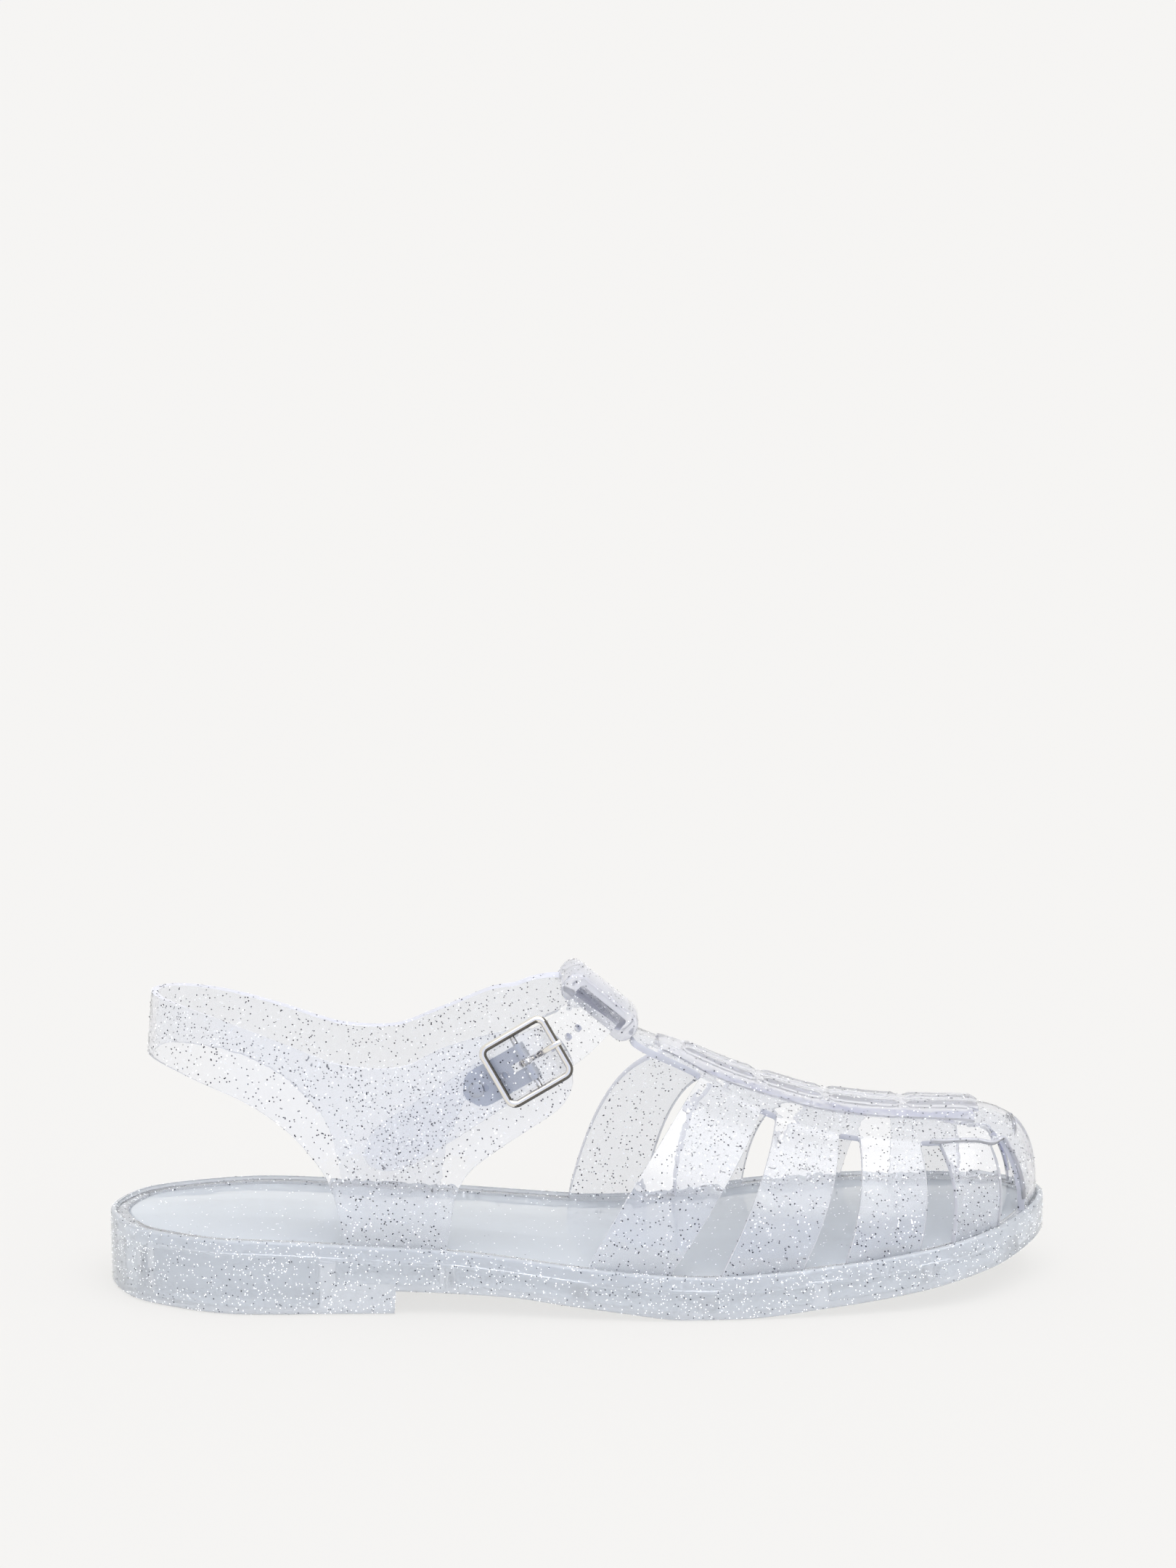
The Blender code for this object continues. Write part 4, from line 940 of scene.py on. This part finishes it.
def quarter_band(mats):
    """Outer lug, quarters, heel band and ankle strap as one ribbon."""
    rows = QUARTER_ROWS
    low_edge = [(row[0], row[1]) for row in QUARTER]
    high_edge = [(row[0], row[2]) for row in QUARTER]

    def slanted(side, row):
        xb, zb, xt, zt = row
        ground = rim_z(station(xb)) - FOOT_SINK
        low = np.array([station(xb), zb * COLLAR_HEIGHT if zb > 0 else ground])
        high = np.array([station(xt), zt * COLLAR_HEIGHT])
        return [wall_point(side, *(low + (high - low) * k / rows)) for k in range(rows + 1)]

    def round_heel(side, degrees):
        turn = math.radians(degrees)
        x = share_of(heel_point(side, turn, BAND_LEVEL * COLLAR_HEIGHT)[0])
        low, high = smooth(low_edge, x) * COLLAR_HEIGHT, smooth(high_edge, x) * COLLAR_HEIGHT
        return [heel_point(side, turn, low + (high - low) * k / rows) for k in range(rows + 1)]

    columns = [slanted(OUTER, row) for row in LUG[::-1] + FOOT[::-1]]
    columns += [round_heel(OUTER, t) for t in (*HEEL_TURNS, 90)]
    columns += [round_heel(INNER, t) for t in HEEL_TURNS[::-1]]
    columns += [slanted(INNER, row) for row in FOOT + RISE]
    frames = strap_frames()
    for i, (centre, along, n) in enumerate(frames):
        across = np.cross(along, n)
        left = len(frames) - 1 - i
        reach = 1 - (1 - min(left / STRAP_TIP, 1.0)) ** 2 * TIP_ROUND
        half = STRAP_WIDTH / 2 * math.sqrt(reach)
        columns.append([centre + across * half * (2 * k / rows - 1) for k in range(rows + 1)])
    verts = [p for col in columns for p in col]
    faces = [cell(i, k, rows + 1) for i in range(len(columns) - 1) for k in range(rows)]
    sheet = new_object("quarters", verts, faces)
    return give_wall(clothe(sheet, mats), STRAP_WALL, Vector((-1, 0, 0)))


def rounded_profile(length, height, corner, steps=8):
    """Rounded rectangle, centred."""
    pts = []
    for k, (sx, sy) in enumerate(((1, 1), (-1, 1), (-1, -1), (1, -1))):
        for i in range(steps + 1):
            turn = math.radians(90 * (k + i / steps))
            pts.append((sx * (length / 2 - corner) + corner * math.cos(turn),
                        sy * (height / 2 - corner) + corner * math.sin(turn)))
    return pts


def throat_loop(mats):
    """Sleeve at the spine's end that the ankle strap passes through."""
    x, _, z = STRAP_OVER[LOOP_ROW]
    centre = Vector((station(x), RIDGE_Y, z * INSTEP_HEIGHT))
    centre -= Vector((-math.sin(LOOP_TILT), 0, math.cos(LOOP_TILT))) * STRAP_WALL / 2
    turn = Matrix.Rotation(-LOOP_TILT, 4, "Y")

    def sleeve(name, length, height, corner, width, narrow):
        rings = []
        for y in np.linspace(-0.5, 0.5, LOOP_SECTIONS):
            shrink = narrow * max(abs(y) - (0.5 - LOOP_TAPER), 0) / LOOP_TAPER
            ring = []
            for px, pz in rounded_profile(length - shrink, height - shrink, corner):
                droop = LOOP_EDGE * (2 * y) ** 2
                ring.append(centre + turn @ Vector((px, y * width, pz - droop)))
            rings.append(ring)
        return loft(name, rings)

    outer = sleeve("throat_loop", LOOP_LENGTH, LOOP_HEIGHT, LOOP_ROUND, LOOP_WIDTH, LOOP_EDGE)
    slot = sleeve("throat_slot", SLOT_LENGTH, SLOT_HEIGHT, SLOT_ROUND, LOOP_WIDTH * SLOT_OVER, 0)
    combine(outer, clothe(slot, mats, 1), "DIFFERENCE")
    return outer


def spine_strip(name, start, end, width, raise_by, ridges):
    """Raised strip along the crest, with fine lengthwise ridges on top."""
    rings = []
    steps = max(6, round((end - start) * LENGTH / STRIP_PITCH))
    across = 6 * ridges if ridges > 1 else 8
    for i in range(steps + 1):
        x = station(start + (end - start) * i / steps)
        from_end = min(i, steps - i) / steps * (end - start) * LENGTH
        top = raise_by * min(1.0, STRIP_END + from_end / STRIP_PITCH)
        wide = min(width, 2 * (smooth(SPINE, share_of(x)) * BALL_WIDTH - SPINE_MARGIN))
        ring = []
        for k in range(across + 1):
            share = k / across
            y = RIDGE_Y + wide * (share - 0.5)
            wave = RIDGE_DEPTH * (1 + math.cos(2 * math.pi * ridges * share)) if ridges > 1 else 0.0
            edge = min(share, 1 - share) * wide
            rise = top * min(1.0, STRIP_SIDE + (1 - STRIP_SIDE) * edge / STRIP_BEVEL) - wave
            ring.append((x, y, vamp_z(x, y) + rise))
        for k in range(across, -1, -1):
            y = RIDGE_Y + wide * (k / across - 0.5)
            ring.append((x, y, vamp_z(x, y) - STRIP_SINK))
        rings.append(ring)
    return loft(name, rings)


def upper_look(*mats):
    """The upper, clear on its broad faces, bluer and milkier on its cut edges as a painted edge
    reflection, and a little milkier on spine and throat.
    """
    upper = clothe(base_ring(), mats)
    upper.name = "upper_clear"
    strips = [spine_strip("side_strip", *SIDE_STRIP_RUN, SIDE_STRIP, SIDE_RAISE, 1)]
    for i, (start, end) in enumerate(TOP_STRIP_RUNS):
        strips.append(spine_strip(f"top_strip_{i}", start, end, TOP_STRIP, TOP_RAISE, 3))
    for piece in (vamp_shell(mats), quarter_band(mats)):
        combine(upper, piece, "UNION")
    for piece in (throat_loop(mats), toe_rim(-1), toe_rim(1), *strips):
        combine(upper, clothe(piece, mats, 2), "UNION")
    for piece in (strap_holes(), rivet_hole("lug_hole", *LUG_HOLE)):
        combine(upper, clothe(piece, mats, 1), "DIFFERENCE")
    return settle(upper)


def buckle_axes():
    """Origin on the outer quarter under the buckle's middle bar, with the strap's direction there."""
    frames = strap_frames()
    centre, along, n = frames[FRAME_STEPS * (len(STRAP_OVER) + BUCKLE_ROW)]
    origin = centre - n * STRAP_DOWN[BUCKLE_ROW][2]
    across = np.cross(along, n)
    return origin, -along, across, n


def on_lug(back):
    """Function that places points on the lug at a distance back from the middle bar, along its face."""
    origin, along, across, n = buckle_axes()

    def face(a, b):
        flat = origin + along * a + across * b
        return wall_point(OUTER, flat[0], flat[2])

    here = face(-back, 0.0)
    run = unit(face(-back + LUG_REACH, 0.0) - face(-back - LUG_REACH, 0.0))
    span = face(-back, LUG_SPAN) - face(-back, -LUG_SPAN)
    up = np.cross(span, run)
    up *= np.sign(up.dot(n)) / np.linalg.norm(up)
    side = np.cross(up, run)
    side *= np.sign(side.dot(across))
    return lambda a, b, height: here + run * a + side * b + up * height


def strap_holes():
    """Row of prong holes through the ankle strap, the buckled one a little longer."""
    frames = strap_frames()
    run = lengths(np.array([f[0] for f in frames]))
    middle = run[FRAME_STEPS * (len(STRAP_OVER) + BUCKLE_ROW)]
    verts, faces = [], []
    for k in range(-HOLES_EACH_WAY, HOLES_EACH_WAY + 1):
        at = middle - HOLE_AHEAD + k * HOLE_PITCH
        i = int(np.argmin(abs(run - at)))
        centre, along, n = frames[i]
        centre = centre + along * (at - run[i])
        across = np.cross(along, n)
        longer = LONG_HOLE if k == 0 else 1.0
        base = len(verts)
        for level in HOLE_LEVELS:
            for j in range(HOLE_SIDES):
                turn = 2 * math.pi * j / HOLE_SIDES
                verts.append(centre + n * level + along * (HOLE / 2 * longer * math.cos(turn))
                             + across * (HOLE / 2 * math.sin(turn)))
        far = base + HOLE_SIDES
        faces.append(tuple(base + j for j in range(HOLE_SIDES)))
        faces.append(tuple(far + j for j in range(HOLE_SIDES))[::-1])
        for j in range(HOLE_SIDES):
            after = (j + 1) % HOLE_SIDES
            faces.append((base + j, base + after, far + after, far + j))
    return new_object("prong_holes", verts, faces)


def tube(name, path, radius_across, radius_up, sides, up, closed=False):
    """Rod of elliptical section along a path, with its second radius along up."""
    rings = []
    count = len(path)
    for i, p in enumerate(path):
        before = path[(i - 1) % count] if closed or i else path[0]
        after = path[(i + 1) % count] if closed or i < count - 1 else path[-1]
        along = unit(after - before)
        lift = unit(up - along * up.dot(along))
        side = np.cross(along, lift)
        rings.append([p + side * radius_across * math.cos(2 * math.pi * k / sides)
                      + lift * radius_up * math.sin(2 * math.pi * k / sides) for k in range(sides)])
    return loft(name, rings, closed=closed)


def shade_side(obj, mat):
    """Give the frame's faces turned toward its shaded side a darker nickel, a painted shade."""
    obj.data.materials.append(mat)
    for face in obj.data.polygons:
        if face.normal.dot(SHADED_WAY) > SHADED_FROM:
            face.material_index = 1


def buckle_look(metal_mat, painted_shade_mat, plate_mat):
    """Frame with its middle bar, prong, plate and rivet, in that order."""
    origin, along, across, n = buckle_axes()

    def place(a, b, level):
        return origin + along * a + across * b + n * level

    outline = rounded_profile(FRAME_LENGTH, FRAME_WIDTH, FRAME_CORNER)
    ring = [place(a, b, FRAME_LEVEL) for a, b in outline]
    frame_metal = tube("frame_metal", ring, FRAME_BAR / 2, FRAME_DEPTH / 2, 24, n, closed=True)
    rail = FRAME_WIDTH / 2
    dips = [(-rail, FRAME_LEVEL), (-rail, BAR_LEVEL + BAR_DIP), (-rail + BAR_BEND, BAR_LEVEL),
            (rail - BAR_BEND, BAR_LEVEL), (rail, BAR_LEVEL + BAR_DIP), (rail, FRAME_LEVEL)]
    bar = tube("middle_bar", [place(0.0, b, level) for b, level in dips], BAR / 2, BAR / 2, 12, along)
    combine(frame_metal, bar, "UNION")
    settle(frame_metal, metal_mat, 60)
    shade_side(frame_metal, painted_shade_mat)

    grip = BAR / 2 + BAR_SLACK + PRONG_DEPTH / 2
    loop = []
    for degrees in PRONG_TURNS:
        turn = math.radians(degrees)
        loop.append(place(grip * math.cos(turn), 0.0, BAR_LEVEL + grip * math.sin(turn)))
    rest = FRAME_LEVEL + FRAME_DEPTH / 2 + PRONG_SLACK + PRONG_DEPTH / 2
    half = FRAME_LENGTH / 2
    reach = [(a * half, level * rest) for a, level in PRONG_REACH]
    reach.append((half + PRONG_TIP, rest - TIP_DROP))
    path = list(curve(loop + [place(a, 0.0, level) for a, level in reach], steps=6))
    prong = tube("prong_metal", path, PRONG_DEPTH / 2, PRONG_WIDTH / 2, 12, across)
    settle(prong, metal_mat, 60)
    plate = settle(plate_piece(place), plate_mat, 40)
    rivet = settle(soften(rivet_piece(), RIVET_SOFT, 40), plate_mat, 40)
    return frame_metal, prong, plate, rivet


def plate_piece(place):
    """Plate on the lug, curled round the middle bar in two ears beside the prong."""
    half = PLATE_WIDTH / 2
    rings = []
    for k in range(13):
        a = -PLATE_LENGTH * (1 - k / 12) ** PLATE_EASE
        past = max(-a - (PLATE_LENGTH - half), 0.0)
        b = math.sqrt(max(half**2 - past**2, (PLATE_TIP * half) ** 2))
        spot = on_lug(-a)
        rings.append([spot(0, -b, CLEAR), spot(0, b, CLEAR),
                      spot(0, b, CLEAR + PLATE), spot(0, -b, CLEAR + PLATE)])
    outer, inner = BAR_LEVEL - CLEAR, BAR_LEVEL - CLEAR - PLATE
    for k in range(1, 10):
        turn = math.radians(270 + PLATE_CURL * k / 9)
        spots = [(outer, -half), (outer, half), (inner, half), (inner, -half)]
        rings.append([place(r * math.cos(turn), b, BAR_LEVEL + r * math.sin(turn)) for r, b in spots])
    plate = loft("plate_metal", rings)
    gap = PRONG_WIDTH / 2 + CLEAR
    rear, front = PRONG_SLOT
    corners = [(rear, -gap), (front, -gap), (front, gap), (rear, gap)]
    slot = [[place(a, b, level) for a, b in corners] for level in PRONG_SLOT_LEVELS]
    combine(plate, loft("prong_slot", slot), "DIFFERENCE")
    combine(plate, rivet_hole("plate_hole", *PLATE_HOLE), "DIFFERENCE")
    return plate


def round_rings(profile, sides=12):
    """Rings round the rivet's axis, from rows of radius and level."""
    spot = on_lug(RIVET_BACK)
    turns = [2 * math.pi * k / sides for k in range(sides)]
    return [[spot(r * math.cos(t), r * math.sin(t), level) for t in turns] for r, level in profile]


def rivet_hole(name, low, high):
    radius = RIVET_SHANK / 2 + CLEAR
    return loft(name, round_rings([(radius, low), (radius, high)]))


def rivet_piece():
    """Rivet through plate and lug."""
    head, shank = RIVET_HEAD / 2, RIVET_SHANK / 2
    top = CLEAR + PLATE + CLEAR
    low = -STRAP_WALL - CLEAR
    profile = [(head - RIVET_EDGE, low - RIVET_THICK), (head, low - RIVET_THICK / 2), (head, low),
               (shank, low), (shank, top), (head, top), (head, top + RIVET_THICK / 2),
               (head - RIVET_EDGE, top + RIVET_THICK)]
    return loft("rivet_metal", round_rings(profile, 32))


def glitter(piece, node, seed, mats, open_only):
    """Flakes set at random in the piece's skin, as small closed platelets, some of them dark: copies of
    the silver flake with painted dark reflection.

    With open_only, they keep to the faces that see out, not those round the sole's inner bays.
    """
    count, radius, dark = FLAKES[node], FLAKE[node], DARK_REFLECTION_SHARE[node]
    mesh = piece.data
    mesh.calc_loop_triangles()

    def read(items, key, kind):
        values = np.empty(len(items) * 3, kind)
        items.foreach_get(key, values)
        return values.reshape(-1, 3)

    verts, tris = read(mesh.vertices, "co", float), read(mesh.loop_triangles, "vertices", int)
    a, b, c = verts[tris[:, 0]], verts[tris[:, 1]], verts[tris[:, 2]]
    cross = np.cross(b - a, c - a)
    area = np.linalg.norm(cross, axis=1)
    weight = area.copy()
    if open_only:
        tree = BVHTree.FromPolygons(verts.tolist(), tris.tolist())
        middle = (a + b + c) / 3
        for k, (point, way) in enumerate(zip(middle, cross / np.maximum(area, TINY)[:, None])):
            point, way = Vector(point), Vector(way)
            if tree.ray_cast(point + way * radius, way, BAY_REACH)[0] is not None:
                weight[k] = 0
            elif way.z < UNDER_WAY:
                weight[k] *= UNDER_SHARE
    rng = np.random.default_rng(seed)
    pick = rng.choice(len(tris), count, p=weight / weight.sum())
    u, v = rng.random(count), rng.random(count)
    over = u + v > 1
    u[over], v[over] = 1 - u[over], 1 - v[over]
    at = a[pick] + (b - a)[pick] * u[:, None] + (c - a)[pick] * v[:, None]
    face = cross[pick] / area[pick][:, None]
    at = at - face * rng.uniform(*FLAKE_DEPTH, count)[:, None]
    axis = face + rng.normal(0, math.tan(FLAKE_TILT), (count, 3))
    axis /= np.linalg.norm(axis, axis=1)[:, None]
    spare = np.where(abs(axis[:, :1]) < 0.8, [[1.0, 0, 0]], [[0, 1.0, 0]])
    side = np.cross(axis, spare)
    side /= np.linalg.norm(side, axis=1)[:, None]
    other = np.cross(axis, side)
    size = radius * rng.uniform(*FLAKE_SPREAD, count)
    turn = rng.uniform(0, 2 * math.pi, count)
    points = [at + axis * FLAKE_THICK / 2, at - axis * FLAKE_THICK / 2]
    for k in range(FLAKE_SIDES):
        way = turn + 2 * math.pi * k / FLAKE_SIDES
        points.append(at + (side * np.cos(way)[:, None] + other * np.sin(way)[:, None]) * size[:, None])
    points = np.stack(points, axis=1)
    stride = points.shape[1]
    faces = []
    for k in range(FLAKE_SIDES):
        here, after = 2 + k, 2 + (k + 1) % FLAKE_SIDES
        faces += [(0, here, after), (1, after, here)]
    faces = (np.array(faces)[None] + np.arange(count)[:, None, None] * stride).reshape(-1, 3)
    flakes = bpy.data.meshes.new(piece.name + "_glitter")
    flakes.from_pydata(points.reshape(-1, 3).tolist(), [], faces.tolist())
    for mat in mats:
        flakes.materials.append(mat)
    # Dark flakes carry the painted dark reflection
    which = np.repeat((rng.random(count) < dark).astype(int), 2 * FLAKE_SIDES)
    flakes.polygons.foreach_set("material_index", which)
    obj = bpy.data.objects.new(flakes.name, flakes)
    bpy.context.scene.collection.objects.link(obj)
    return obj


def studio():
    """Plain pale floor that glows faintly, soft light from above and a bluish one from the front."""
    corners = ((-1, -1), (1, -1), (1, 1), (-1, 1))
    verts = [(x * FLOOR_HALF, y * FLOOR_HALF, -FLOOR_DROP) for x, y in corners]
    floor = new_object("floor", verts, [(0, 1, 2, 3)])
    floor.data.materials.append(new_material(
        "floor_white", Base_Color=FLOOR, Roughness=0.9, Specular_IOR_Level=0.0,
        Emission_Color=FLOOR_GLOW, Emission_Strength=FLOOR_GLOW_LEVEL))

    world = bpy.data.worlds.new("studio")
    bpy.context.scene.world = world
    world.use_nodes = True
    tree = world.node_tree
    tree.nodes.clear()
    where = add_node(tree, "ShaderNodeTexCoord").outputs["Generated"]

    def spot(direction, inner, outer):
        """1 inside a cone round the direction, easing to 0 outside it."""
        dot = add_node(tree, "ShaderNodeVectorMath", operation="DOT_PRODUCT")
        tree.links.new(where, dot.inputs[0])
        dot.inputs[1].default_value = Vector(direction).normalized()
        ease = add_node(tree, "ShaderNodeMapRange", interpolation_type="SMOOTHSTEP",
                        From_Min=math.cos(math.radians(outer)), From_Max=math.cos(math.radians(inner)),
                        Value=dot.outputs["Value"])
        return ease.outputs["Result"]

    color = (*BACKDROP, 1)
    for direction, inner, outer, level in LIGHTS:
        mixed = add_node(tree, "ShaderNodeMix", data_type="RGBA", A=color, B=(*level, 1),
                         Factor=spot(direction, inner, outer))
        color = mixed.outputs["Result"]
    back = add_node(tree, "ShaderNodeBackground", Color=color)
    add_node(tree, "ShaderNodeOutputWorld", Surface=back.outputs["Background"])


def camera():
    """Camera at the photograph's angle, fitted to the sole, heel and throat."""
    turn, high = math.radians(VIEW_TURN), math.radians(VIEW_HIGH)
    aim = Vector(VIEW_AIM)
    back = Matrix.Rotation(-turn, 3, "Z") @ Vector((0, -math.cos(high), math.sin(high)))
    data = bpy.data.cameras.new("camera")
    cam = bpy.data.objects.new("camera", data)
    bpy.context.scene.collection.objects.link(cam)
    cam.location = aim + back * VIEW_DISTANCE
    cam.rotation_euler = back.to_track_quat("Z", "Y").to_euler()
    data.sensor_fit = "VERTICAL"
    data.sensor_height = VIEW_SENSOR
    data.lens = VIEW_LENS
    data.shift_x = (PHOTO[0] / 2 - AIM_PIXEL[0]) / PHOTO[1]
    data.shift_y = (AIM_PIXEL[1] - PHOTO[1] / 2) / PHOTO[1]
    data.clip_end = VIEW_FAR
    bpy.context.scene.camera = cam


def main():
    camera()
    studio()
    clear, edge, crest, sole_clear, bed = [jelly(name, *row) for name, row in PLASTICS.items()]
    nickel, painted_shade_nickel, steel, flake, dark_reflection_flake = [metal(name, *row) for name, row in METALS.items()]
    # The silver flakes' glow is a painted glint
    set_socket(flake, Metallic=FLAKE_METAL, Emission_Color=(1, 1, 1, 1), Emission_Strength=FLAKE_PAINTED_GLINT)

    pieces = {"outsole": outsole_look(sole_clear), "insole": insole_look(bed),
              "upper": upper_look(clear, edge, crest)}
    for seed, (node, piece) in enumerate(pieces.items()):
        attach(piece, "root")
        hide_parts(node)
        specks = glitter(piece, node, FLAKE_SEED + seed, (flake, dark_reflection_flake), node != "upper")
        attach(specks, "root")
    nodes = ("buckle_frame", "buckle_prong", "buckle_plate", "buckle_rivet")
    metals = ("polished_nickel", "polished_nickel", "plate_steel", "plate_steel")
    for piece, node, slot in zip(buckle_look(nickel, painted_shade_nickel, steel), nodes, metals):
        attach(piece, "root")
        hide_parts(node)

    scene = bpy.context.scene
    scene.view_settings.view_transform = "Standard"
    scene.cycles.max_bounces = 24
    scene.cycles.transmission_bounces = 24
    scene.cycles.diffuse_bounces = 4
    scene.cycles.glossy_bounces = 6


main()
